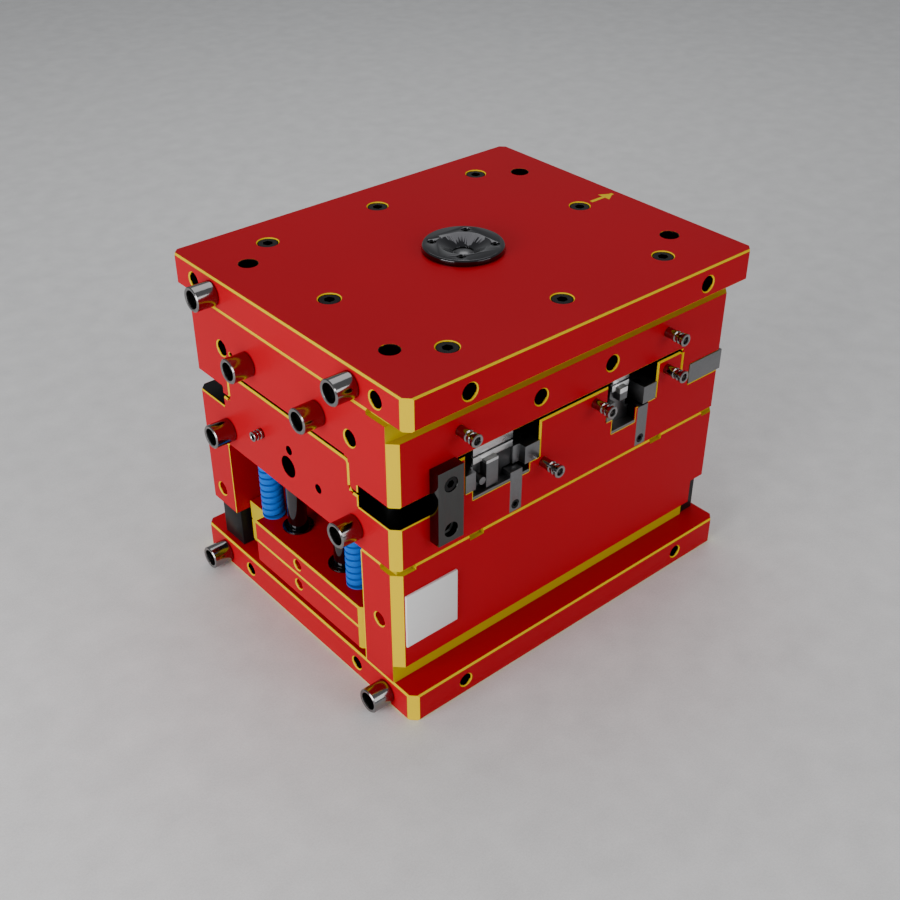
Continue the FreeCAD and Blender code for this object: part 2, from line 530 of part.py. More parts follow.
core_tools.append(rod("core_lower", "-plate_long / 2", "-core_lower_across", "Z2 + core_lower_high", "+X",
                      "core_small_rad", "core_small_deep"))
core_tools += mouth_hole("core_lift_rear", "0", "plate_wide / 2", "Z2 + core_side_lift_high", "-Y",
                         "core_side_lift_rad", "core_small_deep")
# water ports on the front face and one on the end face
PORTS = {
    "core": [("-port_one_along", "Z2 + port_one_high"), ("port_two_along", "Z2 + port_two_high"),
             ("port_three_along", "Z2 + port_three_high")],
    "cavity": [("-port_four_along", "Z4 - cavity_port_drop"), ("port_five_along", "Z4 - cavity_port_drop")],
}
for n, (x, z) in enumerate(PORTS["core"]):
    core_tools.append(rod("core_port%d" % n, x, "-plate_wide / 2 - 1", z, "+Y", "nipple_rad", "nipple_stud + 1"))
    core_tools.append(rod("core_channel%d" % n, x, "-plate_wide / 2 - 1", z, "+Y", "nipple_bore",
                          "channel_deep + 1"))
core_tools.append(rod("core_port_end", "-plate_long / 2 - 1", "end_nipple_across", "Z2 + end_nipple_high", "+X", "nipple_rad",
                      "nipple_stud + 1"))
core_tools.append(rod("core_channel_end", "-plate_long / 2 - 1", "end_nipple_across", "Z2 + end_nipple_high", "+X", "nipple_bore",
                      "channel_deep + 1"))
for n, x in enumerate(("slot_block_from + 15", "slot_block_to - 15")):
    core_tools.append(rod("slot_block_tap%d" % n, x, "-slot_screw_across",
                          "Z3 - step_drop - pry_half - small_grip", "+Z", "small_rad", "small_grip + 1"))
core_tools.append(rod("strap_tap", "-strap_mid", "-plate_wide / 2 - 1", "strap_hole", "+Y", "strap_pin_rad - 1",
                      "20"))
for name, u in UNITS.items():
    core_tools.append(span(name + "_pocket_up", u["x0"], u["x1"], "-plate_wide / 2 - 1", "-insert_half_wide",
                           name + "_floor", "Z3 + 1"))
    core_tools.append(span(name + "_pocket_low", u["lx0"], u["lx1"], "-plate_wide / 2 - 1",
                           "-insert_half_wide", name + "_low_floor", "Z3"))
    core_tools.append(span(name + "_bracket_seat", u["bracket"], u["bracket"] + " + bracket_wide",
                           "-plate_wide / 2 - 1", "-plate_wide / 2 + bracket_thick", "bracket_low",
                           name + "_floor + 1"))
    core_tools.append(rod(name + "_bracket_tap", u["bracket"] + " + bracket_wide / 2",
                          "-plate_wide / 2", "bracket_hole", "+Y", "bracket_screw_rad", "bracket_thick + 14"))
    core_tools.append(edge_bevel(name + "_side_a", u["x0"], "-plate_wide / 2", "Z3", "(Z3 - %s_floor) * 2" % name,
                                 [0, 0, 1]))
    core_tools.append(edge_bevel(name + "_side_b", u["x1"], "-plate_wide / 2", "Z3", "(Z3 - %s_floor) * 2" % name,
                                 [0, 0, 1]))
    for k, end in enumerate(("gib_screw_far", "gib_screw_near")):
        core_tools.append(rod("%s_gib_tap_a%d" % (name, k), "(%s + %s) / 2" % (u["x0"], u["lx0"]), "-" + end,
                              name + "_floor - 12", "+Z", "gib_screw_rad", "14"))
        core_tools.append(rod("%s_gib_tap_b%d" % (name, k), "(%s + %s) / 2" % (u["x1"], u["lx1"]), "-" + end,
                              name + "_floor - 12", "+Z", "gib_screw_rad", "14"))
node("b_plate", cut("core_plate", core_blank, core_tools))

# ---------------------------------------------------------------- A plate with its four interlocking feet
cavity_blank = plate_blank("cavity_plate", "-plate_wide / 2", "plate_wide / 2", "ZA - step_drop", "Z4", "plate_wide")
open_across = span("open_across", "-step_along - step_play", "step_along + step_play", "-plate_wide",
                   "plate_wide", "ZA - step_drop - 1", "ZA")
open_along = span("open_along", "-plate_long", "plate_long", "-step_across - step_play",
                  "step_across + step_play", "ZA - step_drop - 1", "ZA")
cavity_tools = [
    cut("open_across_round", open_across, [
        round_fill("roof_side%d" % n, "side", sx, sy, True, "step_play", "ZA", True)
        for n, (sx, sy) in enumerate(SIGNS)]),
    cut("open_along_round", open_along, [
        round_fill("roof_end%d" % n, "end", sx, sy, True, "step_play", "ZA", True)
        for n, (sx, sy) in enumerate(SIGNS)]),
    span("cavity_pocket", "-insert_half_long", "insert_half_long", "-insert_half_wide", "insert_half_wide",
         "Z3 - 1", "Z3 + cavity_insert_deep"),
    span("rebate_a_front", "-plate_long", "plate_long", "-plate_wide / 2 - 1", "-plate_wide / 2 + rebate_deep",
         "Z4 - rebate_tall", "Z4 + 1"),
    span("rebate_a_rear", "-plate_long", "plate_long", "plate_wide / 2 - rebate_deep", "plate_wide / 2 + 1",
         "Z4 - rebate_tall", "Z4 + 1"),
]
for n, sy in enumerate((-1, 1)):
    cavity_tools.append(edge_bevel("parting_side%d" % n, "0", both("plate_wide / 2", sy), "ZA",
                                   "(step_along - step_round) * 2", [1, 0, 0]))
for n, sx in enumerate((-1, 1)):
    cavity_tools.append(edge_bevel("parting_end%d" % n, both("plate_long / 2", sx), "0", "ZA",
                                   "(step_across - step_round) * 2", [0, 1, 0]))
for n, (sx, sy) in enumerate(SIGNS):
    cavity_tools.append(signed_span("pry_up%d" % n, sx, sy, "pry_along", "plate_long", "pry_across", "plate_wide",
                                    "Z3 - step_drop - 1", "Z3 - step_drop + pry_half"))
    for face, (plane, wall, other) in FACES.items():
        pry = "pry_across" if face == "end" else "pry_along"
        far = "plate_wide / 2" if face == "end" else "plate_long / 2"
        cavity_tools.append(round_fill("foot_round_%s%d" % (face, n), face, sx, sy, False, "step_play",
                                       "ZA - step_drop", False))
        cavity_tools.append(upright_groove("cavity_wall_%s%d" % (face, n), face, sx, sy, wall + " + step_play",
                                           "ZA - step_drop + step_round", "ZA - step_round"))
        cavity_tools.append(level_groove("cavity_floor_%s%d" % (face, n), face, sx, sy, wall + " + step_round",
                                         pry + " + 2", "ZA - step_drop"))
        cavity_tools.append(upright_groove("cavity_lip_%s%d" % (face, n), face, sx, sy, pry,
                                           "ZA - step_drop", "Z3 - step_drop + pry_half", "pry_lip"))
        cavity_tools.append(level_groove("cavity_sill_%s%d" % (face, n), face, sx, sy, pry, far,
                                         "Z3 - step_drop + pry_half", "pry_lip"))
    cavity_tools.append(rod("bush_seat%d" % n, both("LA", sx), both("leader_across", sy),
                            "Z3 - step_drop - 1", "+Z", "bush_rad", "cavity_plate_tall + step_drop + 2"))
    cavity_tools.append(rod("bush_flange_seat%d" % n, both("LA", sx), both("leader_across", sy),
                            "Z4 - bush_flange_tall", "+Z", "bush_flange_rad", "bush_flange_tall + 1"))
    cavity_tools.append(rod("clamp_tap%d" % n, both("clamp_screw_along", sx), both("clamp_screw_across", sy),
                            "Z4 - screw_grip", "+Z", "screw_rad", "screw_grip + 1"))
    cavity_tools.append(rod("cavity_insert_hole%d" % n, both("insert_half_long - insert_screw_inset", sx),
                            both("insert_half_wide - insert_screw_inset", sy), "Z3 + 1", "+Z", "small_rad + 0.5",
                            "cavity_plate_tall"))
    cavity_tools.append(rod("cavity_insert_sink%d" % n, both("insert_half_long - insert_screw_inset", sx),
                            both("insert_half_wide - insert_screw_inset", sy), "Z4 - small_head_tall - 1", "+Z",
                            "small_head_rad + 0.5", "small_head_tall + 2"))
    cavity_tools += mouth_hole("cavity_endlift%d" % n, both("plate_long / 2", sx), both("cavity_lift_across", sy),
                               "Z4 - cavity_lift_drop", "+X" if sx < 0 else "-X", "lift_rad", "lift_deep")
    cavity_tools += mouth_hole("cavity_sidelift%d" % n, both("cavity_lift_along", sx), both("plate_wide / 2", sy),
                               "Z4 - cavity_lift_drop + 0.5", "+Y" if sy < 0 else "-Y", "lift_rad", "lift_deep")
    cavity_tools.append(signed_span("pry_top%d" % n, sx, sy, "plate_long / 2 - pry_shallow", "plate_long / 2 + 1",
                                    "pry_top_from", "pry_top_to", "Z4 - pry_shallow", "Z4 + 1"))
for n, s in enumerate((-1, 1)):
    cavity_tools.append(rod("clamp_tap_end%d" % n, both("clamp_screw_end", s), "0", "Z4 - screw_grip", "+Z",
                            "screw_rad", "screw_grip + 1"))
    cavity_tools.append(rod("clamp_tap_mid%d" % n, "0", both("clamp_screw_across", s), "Z4 - screw_grip", "+Z",
                            "screw_rad", "screw_grip + 1"))
    cavity_tools.append(rod("cavity_foothole%d" % n, "-plate_long / 2 - 1", both("cavity_foot_across", s),
                            "Z4 - cavity_foot_drop", "+X", "foot_stud_rad", "foot_stud + 1"))
cavity_tools += mouth_hole("cavity_small", "-plate_long / 2", "cavity_tap_across", "Z4 - cavity_tap_drop", "+X",
                           "cavity_tap_rad", "cavity_tap_deep", "0.6")
for n, (x, z) in enumerate(PORTS["cavity"]):
    cavity_tools.append(rod("cavity_port%d" % n, x, "-plate_wide / 2 - 1", z, "+Y", "nipple_rad",
                            "nipple_stud + 1"))
    cavity_tools.append(rod("cavity_channel%d" % n, x, "-plate_wide / 2 - 1", z, "+Y", "nipple_bore",
                            "channel_deep + 1"))
cavity_tools.append(rod("cavity_sprue", "0", "0", "Z3 - 1", "+Z", "sprue_rad", "cavity_plate_tall + 2"))
cavity_tools.append(rod("strap_seat", "-strap_mid", "-plate_wide / 2 - 1", "strap_pivot", "+Y",
                        "strap_pin_rad - 1", "19"))
for name, u in UNITS.items():
    cavity_tools.append(span(name + "_heel_seat", u["bx0"], u["bx1"], "-%s_front" % name,
                             "-%s_front + heel_thick" % name, "Z3 - 1", "Z3 + heel_seat"))
    cavity_tools.append(rod(name + "_heel_bolt", u["mid"], "-%s_front + heel_screw_in" % name, "Z3 - 1", "+Z",
                            "gib_screw_rad + 1.4", "cavity_plate_tall + 2"))
    cavity_tools.append(rod(name + "_heel_sink", u["mid"], "-%s_front + heel_screw_in" % name, "Z4 - 30", "+Z",
                            "gib_screw_head_rad + 2.5", "31"))
    cavity_tools.append(leaning_rod(name + "_angle_seat", name, name + "_angle_rad", "cavity_plate_tall * 1.2",
                                    "4"))
    cavity_tools.append(leaning_rod(name + "_angle_head_low", name, name + "_angle_rad + angle_head",
                                    "cavity_plate_tall * 1.2", "-cavity_plate_tall * 0.88"))
node("a_plate", cut("cavity_plate", cavity_blank, cavity_tools))

# ---------------------------------------------------------------- top clamp plate
top_blank = plate_blank("top_clamp", "-CW / 2", "CW / 2", "Z4", "Z5", "CW")
top_tools = [
    rod("ring_seat", "0", "0", "Z5 - ring_sink", "+Z", "ring_spigot_rad", "ring_sink + 1"),
    rod("ring_free", "0", "0", "Z5 - ring_relief", "+Z", "ring_rad + ring_gap", "ring_relief + 1"),
    rod("sprue_seat", "0", "0", "Z5 - ring_sink - sprue_head_tall", "+Z", "sprue_head_rad", "sprue_head_tall + 1"),
    rod("sprue_way", "0", "0", "Z4 - 1", "+Z", "sprue_rad", "clamp_high"),
]
SCREWS = [(both("clamp_screw_along", sx), both("clamp_screw_across", sy)) for sx, sy in SIGNS]
SCREWS += [(both("clamp_screw_end", s), "0") for s in (-1, 1)]
SCREWS += [("0", both("clamp_screw_across", s)) for s in (-1, 1)]
for n, (x, y) in enumerate(SCREWS):
    top_tools.append(rod("top_bolt%d" % n, x, y, "Z4 - 1", "+Z", "screw_rad + 0.7", "clamp_high + 2"))
    top_tools += mouth_hole("top_sink%d" % n, x, y, "Z5", "-Z", "screw_sink_rad", "screw_sink", "1")
for n, (sx, sy) in enumerate(SIGNS):
    top_tools += mouth_hole("top_leader%d" % n, both("LA", sx), both("leader_across", sy), "Z5", "-Z",
                            "leader_vent_rad", "clamp_high + 2", "1")
    top_tools += mouth_hole("top_endlift%d" % n, both("plate_long / 2", sx), both("top_lift_across", sy),
                            "Z5 - top_lift_drop", "+X" if sx < 0 else "-X", "lift_rad", "lift_deep")
    top_tools += mouth_hole("top_sidelift%d" % n, both("top_lift_along", sx), both("CW / 2", sy),
                            "Z5 - top_lift_drop - 0.5", "+Y" if sy < 0 else "-Y", "lift_rad", "lift_deep")
    ring_x = both("ring_screw_circle * 0.70710678", sx)
    ring_y = both("ring_screw_circle * 0.70710678", sy)
    top_tools.append(rod("ring_tap%d" % n, ring_x, ring_y, "Z5 - ring_sink - 14", "+Z", "ring_screw_rad", "15"))
for n, s in enumerate((-1, 1)):
    top_tools.append(rod("top_foothole%d" % n, "-plate_long / 2 - 1", both("top_foot_across", s), "Z5 - top_foot_drop",
                         "+X", "foot_stud_rad", "foot_stud + 1"))
node("top_clamp_plate", cut("top_clamp", top_blank, top_tools))

# ---------------------------------------------------------------- locating ring and sprue bushing
ring_body = join("ring_body", [
    rod("ring_spigot", "0", "0", "Z5 - ring_sink", "+Z", "ring_spigot_rad", "ring_sink + ring_relief"),
    rod("ring_outer", "0", "0", "Z5 + ring_relief", "+Z", "ring_rad",
        "ring_tall - ring_sink - ring_relief - ring_bevel"),
    cone("ring_edge", "0", "0", "Z5 - ring_sink + ring_tall - ring_bevel", "+Z", "ring_rad",
         "ring_rad - ring_bevel", "ring_bevel"),
])
ring_tools = [
    cone("ring_dish", "0", "0", "Z5 - ring_sink + dish_floor", "+Z", "dish_small_rad", "dish_big_rad",
         "ring_tall - dish_floor + 0.01"),
    rod("ring_centre", "0", "0", "Z5 - ring_sink - 1", "+Z", "dish_small_rad", "6"),
]
ring_screws = []
for n, (sx, sy) in enumerate(SIGNS):
    ring_x = both("ring_screw_circle * 0.70710678", sx)
    ring_y = both("ring_screw_circle * 0.70710678", sy)
    ring_tools.append(rod("ring_hole%d" % n, ring_x, ring_y, "Z5 - ring_sink - 1", "+Z", "ring_screw_rad + 0.3",
                          "ring_tall + 2"))
    ring_tools.append(rod("ring_sink%d" % n, ring_x, ring_y, "Z5 - ring_sink + 6", "+Z",
                          "ring_screw_head_rad + 0.5", "ring_tall"))
    ring_screws.append(cap_screw("ring_screw%d" % n, ring_x, ring_y, "Z5 - ring_sink + 6", "-Z", "ring_screw_rad",
                                 "ring_screw_head_rad", "6", "18"))
node("locating_ring", cut("ring_cut", ring_body, ring_tools))
node("ring_screws", group("ring_screw_set", ring_screws))

sprue_body = join("sprue_body", [
    rod("sprue_shaft", "0", "0", "Z3", "+Z", "sprue_rad", "cavity_plate_tall + clamp_high - ring_sink - 2"),
    rod("sprue_head", "0", "0", "Z5 - ring_sink - sprue_head_tall", "+Z", "sprue_head_rad", "sprue_head_tall"),
])
sprue_taper = cone("sprue_taper", "0", "0", "Z3 - 0.5", "+Z", "sprue_bore + 1.5", "sprue_bore - 0.5",
                   "cavity_plate_tall + clamp_high")
sprue_seat_ball = doc.addObject("Part::Sphere", "sprue_seat_ball")
bind(sprue_seat_ball, "Radius", "nozzle_seat_rad")
place(sprue_seat_ball, "0", "0", "Z5 - ring_sink + 11")
node("sprue_bushing", cut("sprue_cut", sprue_body, [sprue_taper, sprue_seat_ball]))

# ---------------------------------------------------------------- inserts
cavity_insert = span("cavity_insert_block", "-insert_half_long", "insert_half_long", "-insert_half_wide",
                     "insert_half_wide", "Z3", "Z3 + cavity_insert_deep")
insert_tools = [rod("cavity_insert_sprue", "0", "0", "Z3 - 1", "+Z", "sprue_rad", "cavity_insert_deep + 2")]
cavity_screws = []
core_screws = []
for n, (sx, sy) in enumerate(SIGNS):
    x = both("insert_half_long - insert_screw_inset", sx)
    y = both("insert_half_wide - insert_screw_inset", sy)
    insert_tools.append(rod("cavity_insert_tap%d" % n, x, y, "Z3 + cavity_insert_deep - small_grip", "+Z",
                            "small_rad", "small_grip + 1"))
    cavity_screws.append(cap_screw("cavity_screw%d" % n, x, y, "Z4 - small_head_tall - 1", "-Z", "small_rad",
                                   "small_head_rad", "small_head_tall",
                                   "cavity_plate_tall - cavity_insert_deep - small_head_tall - 1 + small_grip - 2"))
    core_screws.append(cap_screw("core_screw%d" % n, x, y,
                                 "Z3 - core_insert_deep - small_grip / 2 - 5", "+Z", "small_rad",
                                 "small_head_rad", "small_head_tall", "small_grip + 10"))
node("cavity_insert", cut("cavity_insert_cut", cavity_insert, insert_tools))
node("cavity_insert_screws", group("cavity_screw_set", cavity_screws))

core_insert = span("core_insert_block", "-insert_half_long", "insert_half_long", "-insert_half_wide",
                   "insert_half_wide", "Z3 - core_insert_deep", "Z3")
tray = span("tray_pocket", "-tray_half_long", "tray_half_long", "-tray_half_wide", "tray_half_wide",
            "Z3 - tray_deep", "Z3 + 1")
island = span("tray_island", "-tray_half_long + wall", "tray_half_long - wall", "-tray_half_wide + wall",
              "tray_half_wide - wall", "Z3 - tray_deep - 1", "Z3 - wall")
tray_gap = cut("tray_gap", tray, [island])
core_insert_tools = [tray_gap]
for n, (sx, sy) in enumerate(SIGNS):
    core_insert_tools.append(rod("core_insert_tap%d" % n, both("insert_half_long - insert_screw_inset", sx),
                                 both("insert_half_wide - insert_screw_inset", sy), "Z3 - core_insert_deep - 1", "+Z", "small_rad",
                                 "small_grip + 1"))
for n, (sx, sy) in enumerate(KNOCK):
    core_insert_tools.append(rod("insert_knock%d" % n, both("knock_along", sx), both("knock_across", sy),
                                 "Z2", "+Z", "knock_rad + run_play", "core_plate_tall + 1"))
core_insert_tools.append(rod("insert_puller", "0", "0", "Z2", "+Z", "knock_rad + run_play", "core_plate_tall + 1"))
for name, u in UNITS.items():
    core_insert_tools.append(span(name + "_tunnel", u["mid"] + " - nose_half - nose_play",
                                  u["mid"] + " + nose_half + nose_play", "-insert_half_wide - 1",
                                  "-tray_half_wide + 0.5", "nose_low - nose_play", "nose_low + nose_tall + nose_play"))
node("core_insert", cut("core_insert_cut", core_insert, core_insert_tools))
node("core_insert_screws", group("core_screw_set", core_screws))

# ---------------------------------------------------------------- guide pins, bushes, pillars, screws
leaders = []
bushes = []
clamp_screws = []
base_screws = []
pillars = []
pillar_screws = []
guide_pins = []
guide_bushes = []
return_pins = []
springs = []
buttons = []
ejector_screws = []
for n, (sx, sy) in enumerate(SIGNS):
    x = both("LA", sx)
    y = both("leader_across", sy)
    leaders.append(join("leader%d" % n, [
        rod("leader_shaft%d" % n, x, y, "Z2", "+Z", "leader_rad", "core_plate_tall + leader_reach"),
        rod("leader_head%d" % n, x, y, "Z2", "+Z", "leader_head_rad", "leader_head_tall"),
        cone("leader_nose%d" % n, x, y, "Z3 + leader_reach", "+Z", "leader_rad", "leader_rad - 3", "6"),
    ]))
    bush_body = join("bush_body%d" % n, [
        rod("bush_sleeve%d" % n, x, y, "Z3 - step_drop + pry_half", "+Z", "bush_rad",
            "cavity_plate_tall + step_drop - pry_half"),
        rod("bush_flange%d" % n, x, y, "Z4 - bush_flange_tall", "+Z", "bush_flange_rad", "bush_flange_tall"),
    ])
    bushes.append(cut("bush%d" % n, bush_body, [
        rod("bush_bore%d" % n, x, y, "Z3 - step_drop", "+Z", "leader_rad + run_play",
            "cavity_plate_tall + step_drop + 1")]))
    base_screws.append(cap_screw("base_screw%d" % n, both("base_screw_along", sx), both("base_screw_across", sy),
                                 "screw_sink", "+Z", "screw_rad", "screw_head_rad", "screw_head_tall",
                                 "clamp_low - screw_sink + spacer_tall + screw_grip"))
    x = both("pillar_along", sx)
    y = both("pillar_across", sy)
    pillar = rod("pillar_rod%d" % n, x, y, "Z1", "+Z", "pillar_rad", "spacer_tall")
    pillars.append(cut("pillar%d" % n, pillar, [
        rod("pillar_tap%d" % n, x, y, "Z1 - 1", "+Z", "small_rad", "small_grip + 2")]))
    pillar_screws.append(cap_screw("pillar_screw%d" % n, x, y, "small_head_tall + 1", "+Z", "small_rad",
                                   "small_head_rad", "small_head_tall", "clamp_low - small_head_tall + small_grip - 2"))
    x = both("guide_along", sx)
    y = both("guide_across", sy)
    guide_pins.append(rod("guide_pin%d" % n, x, y, "Z1 - guide_seat", "+Z", "guide_rad",
                          "spacer_tall + 2 * guide_seat"))
    guide_body = join("guide_body%d" % n, [
        rod("guide_sleeve%d" % n, x, y, "ZE1", "+Z", "guide_bush_rad", "ejector_tall + retainer_tall"),
        rod("guide_flange%d" % n, x, y, "ZE3 - guide_flange_tall", "+Z", "guide_flange_rad",
            "guide_flange_tall + guide_proud"),
    ])
    guide_bushes.append(cut("guide_bush%d" % n, guide_body, [
        rod("guide_bore%d" % n, x, y, "ZE1 - 1", "+Z", "guide_rad + run_play",
            "ejector_tall + retainer_tall + 20")]))
    x = both("return_along", sx)
    y = both("return_across", sy)
    return_pins.append(join("return_pin%d" % n, [
        rod("return_shaft%d" % n, x, y, "ZE2", "+Z", "return_rad", "Z3 - ZE2 - 0.1"),
        rod("return_head%d" % n, x, y, "ZE2", "+Z", "return_head_rad", "head_tall"),
    ]))
    spring_tools = [rod("spring_bore%d" % n, x, y, "ZE3 - 1", "+Z", "spring_rad - spring_wire",
                        "spacer_tall")]
    spring_body = rod("spring_body%d" % n, x, y, "ZE3", "+Z", "spring_rad", "Z2 - ZE3")
    springs.append(cut("spring%d" % n, spring_body, spring_tools))
    buttons.append(rod("button%d" % n, both("button_along", sx), both("button_across", sy), "Z1", "+Z", "button_rad",
                       "button_tall"))
    ejector_screws.append(cap_screw("ejector_screw%d" % n, both("guide_along - ejector_screw_inset", sx), both("guide_across", sy),
                                    "ZE1 + small_head_tall + 1", "+Z", "small_rad", "small_head_rad",
                                    "small_head_tall", "ejector_tall - small_head_tall + small_grip - 2"))
for n, s in enumerate((-1, 1)):
    base_screws.append(cap_screw("base_screw_mid%d" % n, "0", both("base_screw_across", s), "screw_sink", "+Z",
                                 "screw_rad", "screw_head_rad", "screw_head_tall",
                                 "clamp_low - screw_sink + spacer_tall + screw_grip"))
    buttons.append(rod("button_mid%d" % n, "0", both("button_across", s), "Z1", "+Z", "button_rad",
                       "button_tall"))
for n, (x, y) in enumerate(SCREWS):
    clamp_screws.append(cap_screw("clamp_screw%d" % n, x, y, "Z5 - screw_sink", "-Z", "screw_rad",
                                  "screw_head_rad", "screw_head_tall", "clamp_high - screw_sink + screw_grip - 1"))
node("leader_pins", group("leader_set", leaders))
node("leader_bushings", group("bush_set", bushes))
node("clamp_screws", group("clamp_screw_set", clamp_screws))
node("base_screws", group("base_screw_set", base_screws))
node("support_pillars", group("pillar_set", pillars))
node("pillar_screws", group("pillar_screw_set", pillar_screws))
node("ejector_guide_pins", group("guide_pin_set", guide_pins))
node("ejector_guide_bushings", group("guide_bush_set", guide_bushes))
node("return_pins", group("return_pin_set", return_pins))
node("return_springs", group("spring_set", springs))
node("rest_buttons", group("button_set", buttons))
node("ejector_screws", group("ejector_screw_set", ejector_screws))

# ---------------------------------------------------------------- ejector plates and pins
for label, z0, z1, keep in (("ejector_plate", "ZE1", "ZE2", 0), ("ejector_retainer_plate", "ZE2", "ZE3", 1)):
    blank = plate_blank(label, "-ejector_half", "ejector_half", z0, z1, "ejector_half * 2")
    tools = []
    for n, (sx, sy) in enumerate(SIGNS):
        tools.append(rod("%s_pillar%d" % (label, n), both("pillar_along", sx), both("pillar_across", sy),
                         z0 + " - 1", "+Z", "pillar_rad + 1.5", "ejector_tall + 2"))
        tools.append(rod("%s_guide%d" % (label, n), both("guide_along", sx), both("guide_across", sy),
                         z0 + " - 1", "+Z", "guide_bush_rad", "ejector_tall + 2"))
        x = both("return_along", sx)
        y = both("return_across", sy)
        if keep:
            tools.append(rod("%s_return%d" % (label, n), x, y, z0 + " - 1", "+Z", "return_rad + 0.25",
                             "ejector_tall + 2"))
            tools.append(rod("%s_return_head%d" % (label, n), x, y, z0 + " - 1", "+Z", "return_head_rad + 0.25",
                             "head_tall + 1"))
            tools.append(rod("%s_flange%d" % (label, n), both("guide_along", sx), both("guide_across", sy),
                             "ZE3 - guide_flange_tall", "+Z", "guide_flange_rad", "guide_flange_tall + 1"))
            tools.append(rod("%s_tap%d" % (label, n), both("guide_along - ejector_screw_inset", sx), both("guide_across", sy),
                             z0 + " - 1", "+Z", "small_rad", "small_grip + 2"))
        else:
            tools.append(rod("%s_clear%d" % (label, n), both("guide_along - ejector_screw_inset", sx), both("guide_across", sy),
                             z0 + " - 1", "+Z", "small_rad + 0.5", "ejector_tall + 2"))
            tools.append(rod("%s_sink%d" % (label, n), both("guide_along - ejector_screw_inset", sx), both("guide_across", sy),
                             z0 + " - 1", "+Z", "small_head_rad + 0.5", "small_head_tall + 2"))
    if keep:
        for n, (sx, sy) in enumerate(KNOCK + [(0, 0)]):
            x = both("knock_along", sx)
            y = both("knock_across", sy)
            tools.append(rod("%s_knock%d" % (label, n), x, y, z0 + " - 1", "+Z", "knock_rad + 0.25",
                             "ejector_tall + 2"))
            tools.append(rod("%s_knock_head%d" % (label, n), x, y, z0 + " - 1", "+Z", "knock_head_rad + 0.25",
                             "head_tall + 1"))
    hole_z = "ZE2 + retainer_bore_high" if keep else "ZE1 + ejector_bore_high"
    tools += mouth_hole(label + "_end", "-plate_long / 2", "0", hole_z, "+X", "ejector_bore_rad",
                        "ejector_bore_deep")
    tools += mouth_hole(label + "_far", "plate_long / 2", "0", hole_z, "-X", "ejector_bore_rad",
                        "ejector_bore_deep")
    tools.append(span(label + "_corner_a", "-plate_long / 2 - 1", "-plate_long / 2 + ejector_corner_along",
                      "ejector_corner_across", "ejector_half + 1", z0 + " - 1", z1 + " + 1"))
    tools.append(span(label + "_corner_b", "plate_long / 2 - ejector_corner_along", "plate_long / 2 + 1",
                      "-ejector_half - 1", "-ejector_corner_across", z0 + " - 1", z1 + " + 1"))
    node(label, cut(label + "_cut", blank, tools))
knock_pins = []
for n, (sx, sy) in enumerate(KNOCK):
    x = both("knock_along", sx)
    y = both("knock_across", sy)
    knock_pins.append(join("knock_pin%d" % n, [
        rod("knock_shaft%d" % n, x, y, "ZE2", "+Z", "knock_rad", "Z3 - wall - ZE2"),
        rod("knock_head%d" % n, x, y, "ZE2", "+Z", "knock_head_rad", "head_tall"),
    ]))
node("ejector_pins", group("knock_pin_set", knock_pins))
node("sprue_puller", join("puller", [
    rod("puller_shaft", "0", "0", "ZE2", "+Z", "knock_rad", "Z3 - wall - ZE2"),
    rod("puller_head", "0", "0", "ZE2", "+Z", "knock_head_rad", "head_tall"),
]))

